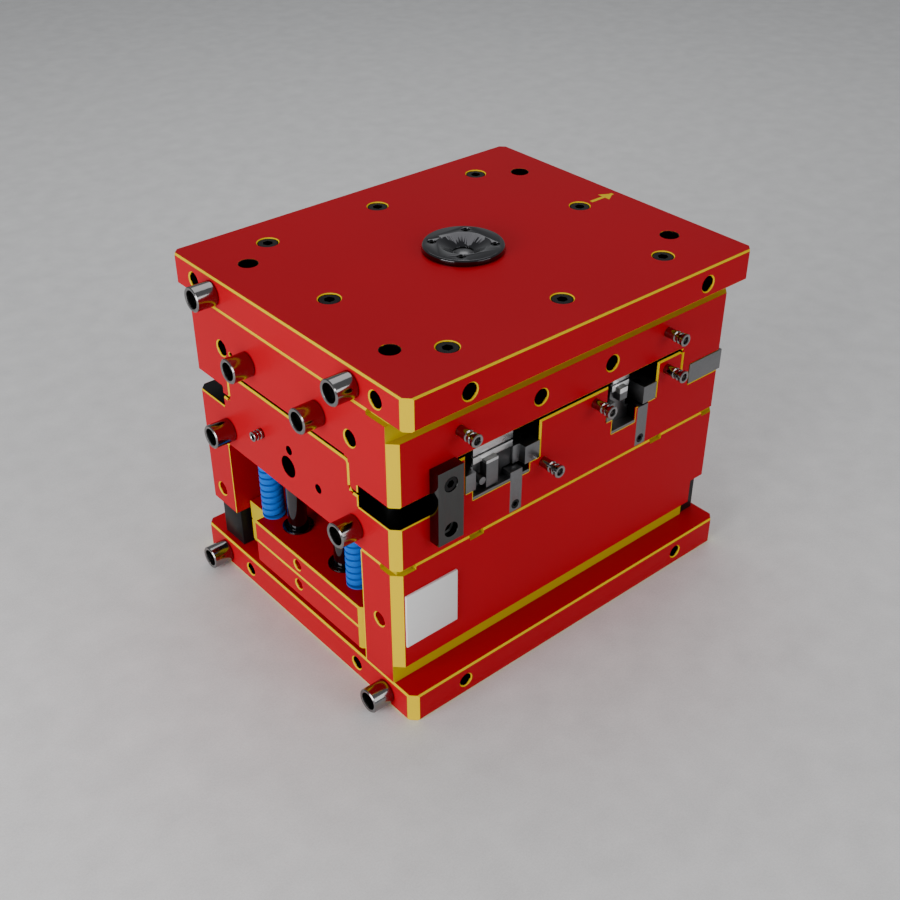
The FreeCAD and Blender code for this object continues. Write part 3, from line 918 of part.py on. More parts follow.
# ---------------------------------------------------------------- side slides with heel blocks and angle pins
heel_screws = []
bracket_screws = []
for name, u in UNITS.items():
    front = "-%s_front" % name
    top = "%s_top" % name
    under = "%s_low_floor + wear_plate" % name
    shoulder = "(%s + heel_shoulder)" % front
    body = span(name + "_slide_body", u["bx0"], u["bx1"], front, SLIDE_BACK, under, top)
    wing = span(name + "_slide_wing", u["lx0"] + " + slide_play", u["lx1"] + " - slide_play", front, SLIDE_BACK,
                under, "%s_floor - slide_play" % name)
    crown = span(name + "_slide_crown", u["bx0"], u["bx1"], front + " + 2", SLIDE_BACK, top + " - 1",
                 "Z3 - slide_play")
    nose = span(name + "_nose", u["mid"] + " - nose_half", u["mid"] + " + nose_half", SLIDE_BACK + " - 1",
                "-tray_half_wide + wall - nose_play", "nose_low", "nose_low + nose_tall")
    # the heel leans more than the angle pin, so it leaves the slide first
    heel_cut = doc.addObject("Part::Box", name + "_heel_cut")
    bind(heel_cut, "Length", "(%s) - (%s) + 2" % (u["bx1"], u["bx0"]))
    bind(heel_cut, "Width", "120")
    bind(heel_cut, "Height", "120")
    heel_cut.Placement = FreeCAD.Placement(FreeCAD.Vector(0, 0, 0),
                                           FreeCAD.Rotation(FreeCAD.Vector(1, 0, 0), -15))
    heel_cut.setExpression("Placement.Rotation.Angle", formula("-heel_lean"))
    heel_cut.setExpression("Placement.Rotation.Axis.x", "1")
    heel_cut.setExpression("Placement.Rotation.Axis.y", "0")
    heel_cut.setExpression("Placement.Rotation.Axis.z", "0")
    lean = "heel_lean * 1 deg"
    bind(heel_cut, "Placement.Base.x", "(%s) - 1" % u["bx0"])
    bind(heel_cut, "Placement.Base.y", "%s - 120 * cos(%s) - heel_rise * sin(%s)" % (shoulder, lean, lean))
    bind(heel_cut, "Placement.Base.z", "Z3 + 120 * sin(%s) - heel_rise * cos(%s) - heel_rise" % (lean, lean))
    above = span(name + "_above", u["bx0"] + " - 2", u["bx1"] + " + 2", front + " - 60", "0", top, "Z3 + 80")
    crown_cut = common(name + "_crown_cut", [heel_cut, above])
    # the front stands back under the top strip and carries a lug
    recess = span(name + "_recess", u["lx0"], u["lx1"], front + " - 1", front + " + strip_proud",
                  under + " - 1", top + " - strip_tall")
    lug = span(name + "_lug", u["gx0"], u["gx1"], front + " - lug_proud", front + " - lug_proud + lug_deep",
               name + "_lug_low", name + "_lug_top")
    slide_tools = [crown_cut, leaning_rod(name + "_slide_bore", name, name + "_angle_rad + 0.5", "20", "110")]
    if name == "first":
        slide_tools.append(span("stop_slot", u["bracket"] + " - stop_play",
                                u["bracket"] + " + bracket_wide + stop_play", front + " - 1",
                                front + " + stop_reach + stop_travel", under + " - 1",
                                under + " + stop_tall + stop_play"))
        slide_tools.append(rod("bolt_bore", "-bolt_along", front, "bolt_high", "+Y", "bolt_rad", "bolt_long - lug_proud"))
        node("slide_bolt_first", rod("slide_bolt", "-bolt_along", front + " - lug_proud", "bolt_high", "+Y",
                                     "bolt_rad", "bolt_long"))
    solid = cut(name + "_slide_front", join(name + "_slide_solid", [body, wing, crown, nose]), [recess])
    slide = cut(name + "_slide", join(name + "_slide_lugged", [solid, lug]), slide_tools)
    node("slide_" + name, slide)
    heel_box = span(name + "_heel_box", u["bx0"], u["bx1"], front, front + " + heel_thick", top + " + heel_gap",
                    "Z3 + heel_seat")
    heel_low = span(name + "_heel_low", u["bx0"] + " - 2", u["bx1"] + " + 2", front + " - 60", "0",
                    top + " - 5", "Z3")
    heel_part = doc.addObject("Part::Box", name + "_heel_wedge")
    bind(heel_part, "Length", "(%s) - (%s) + 2" % (u["bx1"], u["bx0"]))
    bind(heel_part, "Width", "120")
    bind(heel_part, "Height", "120")
    heel_part.Placement = FreeCAD.Placement(FreeCAD.Vector(0, 0, 0),
                                            FreeCAD.Rotation(FreeCAD.Vector(1, 0, 0), -15))
    heel_part.setExpression("Placement.Rotation.Angle", formula("-heel_lean"))
    heel_part.setExpression("Placement.Rotation.Axis.x", "1")
    heel_part.setExpression("Placement.Rotation.Axis.y", "0")
    heel_part.setExpression("Placement.Rotation.Axis.z", "0")
    bind(heel_part, "Placement.Base.x", "(%s) - 1" % u["bx0"])
    bind(heel_part, "Placement.Base.y", "%s - 0.1 - heel_rise * sin(%s)" % (shoulder, lean))
    bind(heel_part, "Placement.Base.z", "Z3 - heel_rise * cos(%s) - heel_rise" % lean)
    wedge = common(name + "_wedge", [heel_part, heel_low])
    heel = cut(name + "_heel", heel_box, [wedge, rod(name + "_heel_tap", u["mid"], front + " + heel_screw_in",
                                                     "Z3", "+Z", "gib_screw_rad + 1", "heel_seat + 1")])
    node("heel_block_" + name, heel)
    heel_screws.append(cap_screw(name + "_heel_screw", u["mid"], front + " + heel_screw_in", "Z4 - 30", "-Z",
                                         "gib_screw_rad + 1", "gib_screw_head_rad + 2", "8",
                                         "cavity_plate_tall - 30 - 2"))
    pin = join(name + "_angle_body", [
        leaning_rod(name + "_angle_shaft", name, name + "_angle_rad", "cavity_plate_tall * 1.2", "52"),
        leaning_rod(name + "_angle_head", name, name + "_angle_rad + angle_head", "cavity_plate_tall * 1.2",
                    "-cavity_plate_tall * 0.88"),
    ])
    limit = span(name + "_angle_limit", "-plate_long", "plate_long", "-plate_wide", "plate_wide", "Z2", "Z4")
    node("angle_pin_" + name, common(name + "_angle_pin", [pin, limit]))
    wear = span(name + "_wear_plate", u["lx0"], u["lx1"], "-plate_wide / 2", "-insert_half_wide",
                "%s_low_floor" % name, under)
    seat = span(name + "_wear_notch", u["bracket"], u["bracket"] + " + bracket_wide", "-plate_wide / 2 - 1",
                "-plate_wide / 2 + bracket_thick", "bracket_low", "bracket_low + bracket_tall + 5")
    node("wear_plate_" + name, cut(name + "_wear", wear, [seat]))
    gib_screws = []
    gibs = []
    for side, near, far, edge in (("a", u["x0"], u["bx0"], (u["x0"], u["lx0"])),
                                  ("b", u["bx1"], u["x1"], (u["lx1"], u["x1"]))):
        low = "(%s)" % near if side == "a" else "(%s + slide_play)" % near
        high = "(%s - slide_play)" % far if side == "a" else "(%s)" % far
        gib = span("%s_gib_%s" % (name, side), low, high, "-plate_wide / 2", "-gib_back", name + "_floor",
                   name + "_floor + gib_tall")
        # the inner front corner is cut back
        if side == "a":
            notch = (high + " - %s_notch_near" % name, high + " + 1")
        else:
            notch = (low + " - 1", low + " + %s_notch_far" % name)
        tools = [span("%s_gib_notch_%s" % (name, side), notch[0], notch[1], "-plate_wide / 2 - 1",
                      "-plate_wide / 2 + %s_notch_deep" % name, name + "_floor - 1", name + "_floor + gib_tall + 1")]
        for k, end in enumerate(("gib_screw_far", "gib_screw_near")):
            x = "(%s + %s) / 2" % edge
            tools.append(rod("%s_gib_hole_%s%d" % (name, side, k), x, "-" + end, name + "_floor - 1", "+Z",
                             "gib_screw_rad", "gib_tall + 2"))
            tools.append(rod("%s_gib_sink_%s%d" % (name, side, k), x, "-" + end,
                             name + "_floor + gib_tall - gib_screw_head_tall", "+Z", "gib_screw_head_rad",
                             "gib_screw_head_tall + 1"))
            gib_screws.append(cap_screw("%s_gib_screw_%s%d" % (name, side, k), x, "-" + end,
                                        name + "_floor + gib_tall - gib_screw_head_tall", "-Z", "gib_screw_rad",
                                        "gib_screw_head_rad", "gib_screw_head_tall",
                                        "gib_tall - gib_screw_head_tall + 10"))
        gibs.append(cut("%s_gib_cut_%s" % (name, side), gib, tools))
    node("slide_gibs_" + name, group(name + "_gib_set", gibs))
    node("gib_screws_" + name, group(name + "_gib_screw_set", gib_screws))
    bracket = span(name + "_bracket_leg", u["bracket"], u["bracket"] + " + bracket_wide", "-plate_wide / 2",
                   "-plate_wide / 2 + bracket_thick", "bracket_low", "bracket_low + bracket_tall")
    if name == "first":
        # its arm reaches into the slot of the slide and stops it
        bracket = join("first_bracket_solid", [bracket, span(
            "first_bracket_arm", u["bracket"], u["bracket"] + " + bracket_wide", "-plate_wide / 2 + 1",
            front + " + stop_reach", "bracket_low + bracket_tall - stop_tall", "bracket_low + bracket_tall")])
    x = u["bracket"] + " + bracket_wide / 2"
    node("stop_bracket_" + name, cut(name + "_bracket", bracket, [
        rod(name + "_bracket_bore", x, "-plate_wide / 2 - 1", "bracket_hole", "+Y", "bracket_screw_rad",
            "bracket_thick + 2"),
        rod(name + "_bracket_sink", x, "-plate_wide / 2 - 1", "bracket_hole", "+Y", "bracket_head_rad",
            "bracket_head_tall + 1.5"),
    ]))
    bracket_screws.append(cap_screw(name + "_bracket_screw", x,
                                                 "-plate_wide / 2 + bracket_head_tall + 0.5", "bracket_hole",
                                                 "+Y", "bracket_screw_rad", "bracket_head_rad - 0.2",
                                                 "bracket_head_tall", "14"))

node("heel_screws", group("heel_screw_set", heel_screws))
node("stop_bracket_screws", group("bracket_screw_set", bracket_screws))

# ---------------------------------------------------------------- feet, nipples, strap, plate, switches


def foot(name, across, z):
    body = join(name + "_solid", [
        rod(name + "_rod", "-plate_long / 2", across, z, "-X", "foot_rad", "foot_long"),
        rod(name + "_stud", "-plate_long / 2 - 1", across, z, "+X", "foot_stud_rad", "foot_stud"),
    ])
    hollow = rod(name + "_hollow", "-plate_long / 2 - foot_long - 1", across, z, "+X", "foot_hollow_rad",
                 "foot_hollow + 1")
    return cut(name, body, [hollow])


for label, across, z in (("top_clamp_feet", "top_foot_across", "Z5 - top_foot_drop"),
                         ("a_plate_feet", "cavity_foot_across", "Z4 - cavity_foot_drop"),
                         ("b_plate_feet", "core_foot_across", "Z2 + core_foot_high"),
                         ("bottom_clamp_feet", "base_foot_across", "base_foot_high")):
    node(label, group(label + "_set", [foot("%s%d" % (label, n), both(across, s), z)
                                       for n, s in enumerate((-1, 1))]))


def nipple(name, x, z):
    body = join(name + "_solid", [
        rod(name + "_rod", x, "-plate_wide / 2", z, "-Y", "nipple_rad", "nipple_long"),
        rod(name + "_stud", x, "-plate_wide / 2 - 1", z, "+Y", "nipple_rad", "nipple_stud"),
        rod(name + "_ring", x, "-plate_wide / 2 - nipple_long + nipple_ring", z, "-Y", "nipple_ring_rad",
            "nipple_ring"),
    ])
    bore = rod(name + "_bore", x, "-plate_wide / 2 - nipple_long - 1", z, "+Y", "nipple_bore",
               "nipple_long + nipple_stud + 2")
    return cut(name, body, [bore])


node("a_plate_nipples", group("a_nipple_set", [nipple("a_nipple%d" % n, x, z)
                                               for n, (x, z) in enumerate(PORTS["cavity"])]))
node("b_plate_nipples", group("b_nipple_set", [nipple("b_nipple%d" % n, x, z)
                                               for n, (x, z) in enumerate(PORTS["core"])]))
end_nipple = join("end_nipple_solid", [
    rod("end_nipple_rod", "-plate_long / 2", "end_nipple_across", "Z2 + end_nipple_high", "-X", "nipple_rad",
        "end_nipple_long"),
    rod("end_nipple_stud", "-plate_long / 2 - 1", "end_nipple_across", "Z2 + end_nipple_high", "+X", "nipple_rad", "nipple_stud"),
])
node("b_plate_end_nipple", cut("end_nipple", end_nipple, [
    rod("end_nipple_bore", "-plate_long / 2 - end_nipple_long - 1", "end_nipple_across", "Z2 + end_nipple_high", "+X", "nipple_bore", "nipple_stud + 16")]))

slot_block = span("slot_block_body", "slot_block_from", "slot_block_to", "-plate_wide / 2",
                  "-plate_wide / 2 + slot_block_deep", "Z3 - step_drop - pry_half", "Z3 - step_drop + pry_half - 0.5")
slot_screws = []
slot_tools = []
for n, x in enumerate(("slot_block_from + 15", "slot_block_to - 15")):
    slot_tools.append(rod("slot_block_hole%d" % n, x, "-slot_screw_across", "Z3 - step_drop - pry_half - 1", "+Z",
                          "small_rad + 0.5", "2 * pry_half + 2"))
    slot_tools.append(rod("slot_block_sink%d" % n, x, "-slot_screw_across", "Z3 - step_drop + pry_half - 12", "+Z",
                          "small_head_rad + 0.5", "13"))
    slot_screws.append(cap_screw("slot_screw%d" % n, x, "-slot_screw_across", "Z3 - step_drop + pry_half - 12", "-Z",
                                 "small_rad", "small_head_rad", "small_head_tall", "2 * pry_half - 12 + small_grip - 2"))
node("slot_block", cut("slot_block_cut", slot_block, slot_tools))
node("slot_block_screws", group("slot_screw_set", slot_screws))

strap_body = span("strap_bar", "-strap_mid - strap_wide / 2", "-strap_mid + strap_wide / 2",
                  "-plate_wide / 2 - strap_thick - 0.1", "-plate_wide / 2 - 0.1", "strap_low", "strap_low + strap_tall")
node("safety_strap", cut("strap", strap_body, [
    rod("strap_eye", "-strap_mid", "-plate_wide / 2 - strap_thick - 2", "strap_pivot", "+Y",
        "strap_pin_rad + run_play", "strap_thick + 4"),
    rod("strap_eye_sink", "-strap_mid", "-plate_wide / 2 - strap_thick - 2", "strap_pivot", "+Y",
        "strap_head_rad + 0.5", "10"),
    rod("strap_slot", "-strap_mid", "-plate_wide / 2 - strap_thick - 2", "strap_hole", "+Y",
        "strap_pin_rad + run_play", "strap_thick + 4"),
    rod("strap_slot_sink", "-strap_mid", "-plate_wide / 2 - strap_thick - 2", "strap_hole", "+Y",
        "strap_head_rad + 0.5", "10"),
]))
strap_pin = join("strap_pin_solid", [
    rod("strap_pin_shoulder", "-strap_mid", "-plate_wide / 2 - 7.6", "strap_pivot", "+Y", "strap_pin_rad",
        "7.6"),
    rod("strap_pin_thread", "-strap_mid", "-plate_wide / 2 - 1", "strap_pivot", "+Y", "strap_pin_rad - 1", "19"),
    rod("strap_pin_head", "-strap_mid", "-plate_wide / 2 - 7.5", "strap_pivot", "-Y", "strap_head_rad", "6.5"),
])
strap_key = doc.addObject("Part::Prism", "strap_key")
strap_key.Polygon = 6
bind(strap_key, "Circumradius", "5")
bind(strap_key, "Height", "8")
place(strap_key, "-strap_mid", "-plate_wide / 2 - 10.5", "strap_pivot", AXES["-Y"])
node("strap_screw", cut("strap_pin", strap_pin, [strap_key]))

node("name_plate", span("tag_plate", "-plate_tag_mid - plate_tag / 2", "-plate_tag_mid + plate_tag / 2",
                        "-plate_wide / 2 - plate_tag_thick", "-plate_wide / 2", "plate_tag_low",
                        "plate_tag_low + plate_tag"))
switches = []
for n, s in enumerate((-1, 1)):
    xs = [both("plate_long / 2 - switch_deep", s), both("plate_long / 2 - notch_long", s)]
    ys = [both("plate_wide / 2 - switch_inset", -s), both("plate_wide / 2 - switch_inset - switch_wide", -s)]
    if s > 0:
        xs.reverse()
    if s < 0:
        ys.reverse()
    case = span("switch_case%d" % n, xs[0], xs[1], ys[0], ys[1], "Z1", "Z1 + switch_tall")
    switches.append(case)
node("limit_switches", group("switch_set", switches))

doc.recompute()
os.makedirs("parts", exist_ok=True)
problems = []
for obj in doc.Objects:
    if "Invalid" in obj.State or "Error" in obj.State:
        problems.append(obj.Name + " " + " ".join(obj.State))
for label, obj in NODES.items():
    if obj.Shape.isNull() or not obj.Shape.isValid():
        problems.append(label + " has no valid shape")
if problems:
    raise RuntimeError("; ".join(problems[:20]))
for label, obj in sorted(NODES.items()):
    obj.Shape.exportStep("parts/%s.step" % label)
    print(label, len(obj.Shape.Solids), round(obj.Shape.Volume / 1000.0, 1))
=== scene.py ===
"""Injection mould base: finishes, springs, screws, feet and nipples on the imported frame."""

from __future__ import annotations

import json
import logging
import math
from dataclasses import dataclass, field
from enum import Enum
from typing import Iterable, Optional

import bmesh
import bpy
from mathutils import Matrix, Vector

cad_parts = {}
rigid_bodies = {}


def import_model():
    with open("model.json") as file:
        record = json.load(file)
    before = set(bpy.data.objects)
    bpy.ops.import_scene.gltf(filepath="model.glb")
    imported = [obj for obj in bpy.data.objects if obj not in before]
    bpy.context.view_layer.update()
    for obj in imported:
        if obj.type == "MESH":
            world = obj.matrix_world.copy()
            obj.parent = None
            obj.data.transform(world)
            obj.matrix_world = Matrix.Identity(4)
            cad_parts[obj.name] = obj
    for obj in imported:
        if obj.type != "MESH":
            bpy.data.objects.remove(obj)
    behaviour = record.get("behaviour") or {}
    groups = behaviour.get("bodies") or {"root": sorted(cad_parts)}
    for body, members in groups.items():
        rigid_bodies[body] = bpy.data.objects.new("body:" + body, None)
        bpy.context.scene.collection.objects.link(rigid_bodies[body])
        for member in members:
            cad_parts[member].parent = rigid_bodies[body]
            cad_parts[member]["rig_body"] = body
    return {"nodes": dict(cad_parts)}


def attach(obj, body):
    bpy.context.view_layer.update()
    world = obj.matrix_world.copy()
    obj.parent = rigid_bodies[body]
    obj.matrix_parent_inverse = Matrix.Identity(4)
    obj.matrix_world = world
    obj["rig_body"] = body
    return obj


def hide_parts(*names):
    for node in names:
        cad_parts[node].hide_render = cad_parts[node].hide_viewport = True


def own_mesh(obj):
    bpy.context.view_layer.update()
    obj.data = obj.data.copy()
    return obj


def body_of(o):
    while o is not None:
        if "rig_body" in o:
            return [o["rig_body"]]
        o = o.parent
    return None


LOG = logging.getLogger("mould_base")
MM = 0.001
HALF_LONG = 0.27
HALF_WIDE = 0.2
CLAMP_HALF_WIDE = 0.225
FACE_SQUARE = 0.93
EDGE_BAND = 0.0023
NO_TOP_BAND = 9.0
GRAIN_DEPTH = 0.0002

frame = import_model()


class Axis(Enum):
    """Direction that a turned piece points in, away from the metal that carries it."""

    LEFT = (-1.0, 0.0, 0.0)
    FRONT = (0.0, -1.0, 0.0)
    UP = (0.0, 0.0, 1.0)
    DOWN = (0.0, 0.0, -1.0)


# --------------------------------------------------------------------------- node helpers


def new_group(
    name: str, inputs: dict[str, tuple[str, object]], outputs: dict[str, str]
) -> bpy.types.NodeTree:
    """Make an empty shader node group.

    Args:
        name: name of the group.
        inputs: socket name to its kind and default value.
        outputs: socket name to its kind.

    Returns:
        The node tree, with its group input and output nodes.
    """
    tree = bpy.data.node_groups.new(name, "ShaderNodeTree")
    for label, (kind, default) in inputs.items():
        socket = tree.interface.new_socket(label, in_out="INPUT", socket_type=kind)
        if default is not None:
            socket.default_value = default
    for label, kind in outputs.items():
        tree.interface.new_socket(label, in_out="OUTPUT", socket_type=kind)
    tree.nodes.new("NodeGroupInput").name = "In"
    tree.nodes.new("NodeGroupOutput").name = "Out"
    return tree


def math_node(
    tree: bpy.types.NodeTree, operation: str, a: object, b: object = None
) -> bpy.types.NodeSocket:
    """Add a Math node whose inputs are sockets or numbers, and return its output."""
    node = tree.nodes.new("ShaderNodeMath")
    node.operation = operation
    for index, value in enumerate((a, b)):
        if value is None:
            continue
        if isinstance(value, (int, float)):
            node.inputs[index].default_value = value
        else:
            tree.links.new(value, node.inputs[index])
    return node.outputs[0]


def all_of(
    tree: bpy.types.NodeTree, masks: Iterable[bpy.types.NodeSocket]
) -> bpy.types.NodeSocket:
    """Multiply masks, so the result is 1 only where each of them is."""
    result = None
    for mask in masks:
        result = mask if result is None else math_node(tree, "MULTIPLY", result, mask)
    return result


def any_of(
    tree: bpy.types.NodeTree, masks: Iterable[bpy.types.NodeSocket]
) -> bpy.types.NodeSocket:
    """Take the largest of several masks."""
    result = None
    for mask in masks:
        result = mask if result is None else math_node(tree, "MAXIMUM", result, mask)
    return result


def mix_colour(
    tree: bpy.types.NodeTree, mask: object, low: object, high: object
) -> bpy.types.NodeSocket:
    """Mix two colours by a mask; each colour is a socket or four numbers."""
    node = tree.nodes.new("ShaderNodeMix")
    node.data_type = "RGBA"
    for socket, value in ((node.inputs[0], mask), (node.inputs[6], low), (node.inputs[7], high)):
        if isinstance(value, bpy.types.NodeSocket):
            tree.links.new(value, socket)
        else:
            socket.default_value = value
    return node.outputs[2]


def place_masks(name: str, mirrored: bool) -> bpy.types.NodeTree:
    """Make a group that tells whether a point lies in a box.

    Args:
        name: name of the group.
        mirrored: whether the box counts on both sides of X and of Y alike.

    Returns:
        The node group.
    """
    tree = new_group(
        name,
        {"Low": ("NodeSocketVector", (0, 0, 0)), "High": ("NodeSocketVector", (1, 1, 1))},
        {"Mask": "NodeSocketFloat"},
    )
    inside = tree.nodes["In"]
    place = tree.nodes.new("ShaderNodeTexCoord")
    split = tree.nodes.new("ShaderNodeSeparateXYZ")
    low = tree.nodes.new("ShaderNodeSeparateXYZ")
    high = tree.nodes.new("ShaderNodeSeparateXYZ")
    tree.links.new(place.outputs["Object"], split.inputs[0])
    tree.links.new(inside.outputs["Low"], low.inputs[0])
    tree.links.new(inside.outputs["High"], high.inputs[0])
    tests = []
    for axis in range(3):
        value = split.outputs[axis]
        if mirrored and axis < 2:
            value = math_node(tree, "ABSOLUTE", value)
        tests.append(math_node(tree, "GREATER_THAN", value, low.outputs[axis]))
        tests.append(math_node(tree, "LESS_THAN", value, high.outputs[axis]))
    tree.links.new(all_of(tree, tests), tree.nodes["Out"].inputs["Mask"])
    return tree


def edge_masks() -> bpy.types.NodeTree:
    """Group that finds the bevelled edges, cut corners and hole mouths of a plate."""
    tree = new_group(
        "BevelledEdges",
        {
            "HalfLong": ("NodeSocketFloat", HALF_LONG),
            "HalfWide": ("NodeSocketFloat", HALF_WIDE),
            "CornerSum": ("NodeSocketFloat", 0.459),
            "TopBand": ("NodeSocketFloat", NO_TOP_BAND),
        },
        {"Mask": "NodeSocketFloat"},
    )
    inside = tree.nodes["In"]
    shape = tree.nodes.new("ShaderNodeNewGeometry")
    normal = tree.nodes.new("ShaderNodeSeparateXYZ")
    tree.links.new(shape.outputs["True Normal"], normal.inputs[0])
    flat = [
        math_node(tree, "GREATER_THAN", math_node(tree, "ABSOLUTE", normal.outputs[i]), FACE_SQUARE)
        for i in range(3)
    ]
    sloped = math_node(tree, "SUBTRACT", 1.0, any_of(tree, flat))
    place = tree.nodes.new("ShaderNodeTexCoord")
    split = tree.nodes.new("ShaderNodeSeparateXYZ")
    tree.links.new(place.outputs["Object"], split.inputs[0])
    across = math_node(tree, "ABSOLUTE", split.outputs[0])
    along = math_node(tree, "ABSOLUTE", split.outputs[1])
    end_limit = math_node(tree, "SUBTRACT", inside.outputs["HalfLong"], EDGE_BAND)
    side_limit = math_node(tree, "SUBTRACT", inside.outputs["HalfWide"], EDGE_BAND)
    near_end = math_node(tree, "GREATER_THAN", across, end_limit)
    near_side = math_node(tree, "GREATER_THAN", along, side_limit)
    both_ways = math_node(tree, "ADD", across, along)
    corner = math_node(tree, "GREATER_THAN", both_ways, inside.outputs["CornerSum"])
    top = math_node(tree, "GREATER_THAN", split.outputs[2], inside.outputs["TopBand"])
    zone = any_of(tree, [near_end, near_side, corner, top])
    tree.links.new(all_of(tree, [sloped, zone]), tree.nodes["Out"].inputs["Mask"])
    return tree


def front_mask() -> bpy.types.NodeTree:
    """Group that finds the faces square to Y, which were ground rather than polished."""
    tree = new_group(
        "FacesFront", {"Limit": ("NodeSocketFloat", 0.9)}, {"Mask": "NodeSocketFloat"}
    )
    shape = tree.nodes.new("ShaderNodeNewGeometry")
    normal = tree.nodes.new("ShaderNodeSeparateXYZ")
    tree.links.new(shape.outputs["True Normal"], normal.inputs[0])
    side = math_node(tree, "ABSOLUTE", normal.outputs[1])
    square = math_node(tree, "GREATER_THAN", side, tree.nodes["In"].outputs["Limit"])
    tree.links.new(square, tree.nodes["Out"].inputs["Mask"])
    return tree


def arrow_mask() -> bpy.types.NodeTree:
    """Group that draws a plain arrow pointing along +X, from its tip, shaft and head sizes."""
    tree = new_group(
        "ArrowMark",
        {
            "Tip": ("NodeSocketFloat", 0.259),
            "Long": ("NodeSocketFloat", 0.04),
            "Head": ("NodeSocketFloat", 0.017),
            "Shaft": ("NodeSocketFloat", 0.0025),
            "Level": ("NodeSocketFloat", 0.4449),
        },
        {"Mask": "NodeSocketFloat"},
    )
    inside = tree.nodes["In"]
    place = tree.nodes.new("ShaderNodeTexCoord")
    split = tree.nodes.new("ShaderNodeSeparateXYZ")
    tree.links.new(place.outputs["Object"], split.inputs[0])
    side = math_node(tree, "ABSOLUTE", split.outputs[1])
    back = math_node(tree, "SUBTRACT", inside.outputs["Tip"], split.outputs[0])
    ahead = math_node(tree, "GREATER_THAN", back, 0.0)
    on_top = math_node(tree, "GREATER_THAN", split.outputs[2], inside.outputs["Level"])
    in_head = all_of(tree, [
        math_node(tree, "LESS_THAN", side, math_node(tree, "MULTIPLY", back, 0.6)),
        math_node(tree, "LESS_THAN", back, inside.outputs["Head"]),
    ])
    in_shaft = all_of(tree, [
        math_node(tree, "LESS_THAN", side, inside.outputs["Shaft"]),
        math_node(tree, "LESS_THAN", back, inside.outputs["Long"]),
    ])
    both = any_of(tree, [in_head, in_shaft])
    tree.links.new(all_of(tree, [both, ahead, on_top]), tree.nodes["Out"].inputs["Mask"])
    return tree


def surface_grain() -> bpy.types.NodeTree:
    """Group with soft smudges and fine grain, each a value round one half."""
    tree = new_group(
        "SurfaceGrain",
        {
            "Smudge": ("NodeSocketFloat", 9.0),
            "Grain": ("NodeSocketFloat", 600.0),
            "Stretch": ("NodeSocketVector", (1, 1, 1)),
        },
        {"Smudges": "NodeSocketFloat", "Fine": "NodeSocketFloat"},
    )
    inside = tree.nodes["In"]
    place = tree.nodes.new("ShaderNodeTexCoord")
    scaled = tree.nodes.new("ShaderNodeVectorMath")
    scaled.operation = "MULTIPLY"
    tree.links.new(place.outputs["Object"], scaled.inputs[0])
    tree.links.new(inside.outputs["Stretch"], scaled.inputs[1])
    for label, source, output, detail in (
        ("smudge noise", "Smudge", "Smudges", 4.0),
        ("grain noise", "Grain", "Fine", 2.0),
    ):
        noise = tree.nodes.new("ShaderNodeTexNoise")
        noise.label = label
        noise.inputs["Detail"].default_value = detail
        spot = scaled.outputs[0] if output == "Fine" else place.outputs["Object"]
        tree.links.new(spot, noise.inputs["Vector"])
        tree.links.new(inside.outputs[source], noise.inputs["Scale"])
        tree.links.new(noise.outputs[0], tree.nodes["Out"].inputs[output])
    return tree


GROUPS: dict[str, bpy.types.NodeTree] = {}


def use_group(
    tree: bpy.types.NodeTree, name: str, values: Optional[dict[str, object]] = None
) -> bpy.types.Node:
    """Add one of the shared groups to a tree.

    Args:
        tree: the material's node tree.
        name: key in GROUPS.
        values: input socket name to value.

    Returns:
        The group node.
    """
    node = tree.nodes.new("ShaderNodeGroup")
    node.node_tree = GROUPS[name]
    for label, value in (values or {}).items():
        node.inputs[label].default_value = value
    return node


# --------------------------------------------------------------------------- finishes


Box = tuple[tuple[float, float, float], tuple[float, float, float]]


def boxes_mask(
    tree: bpy.types.NodeTree, kind: str, boxes: Iterable[Box]
) -> bpy.types.NodeSocket:
    """Mask of several boxes; kind is "box" for mirrored ones and "one_box" for single ones."""
    nodes = [use_group(tree, kind, {"Low": low, "High": high}) for low, high in boxes]
    return any_of(tree, [node.outputs["Mask"] for node in nodes])


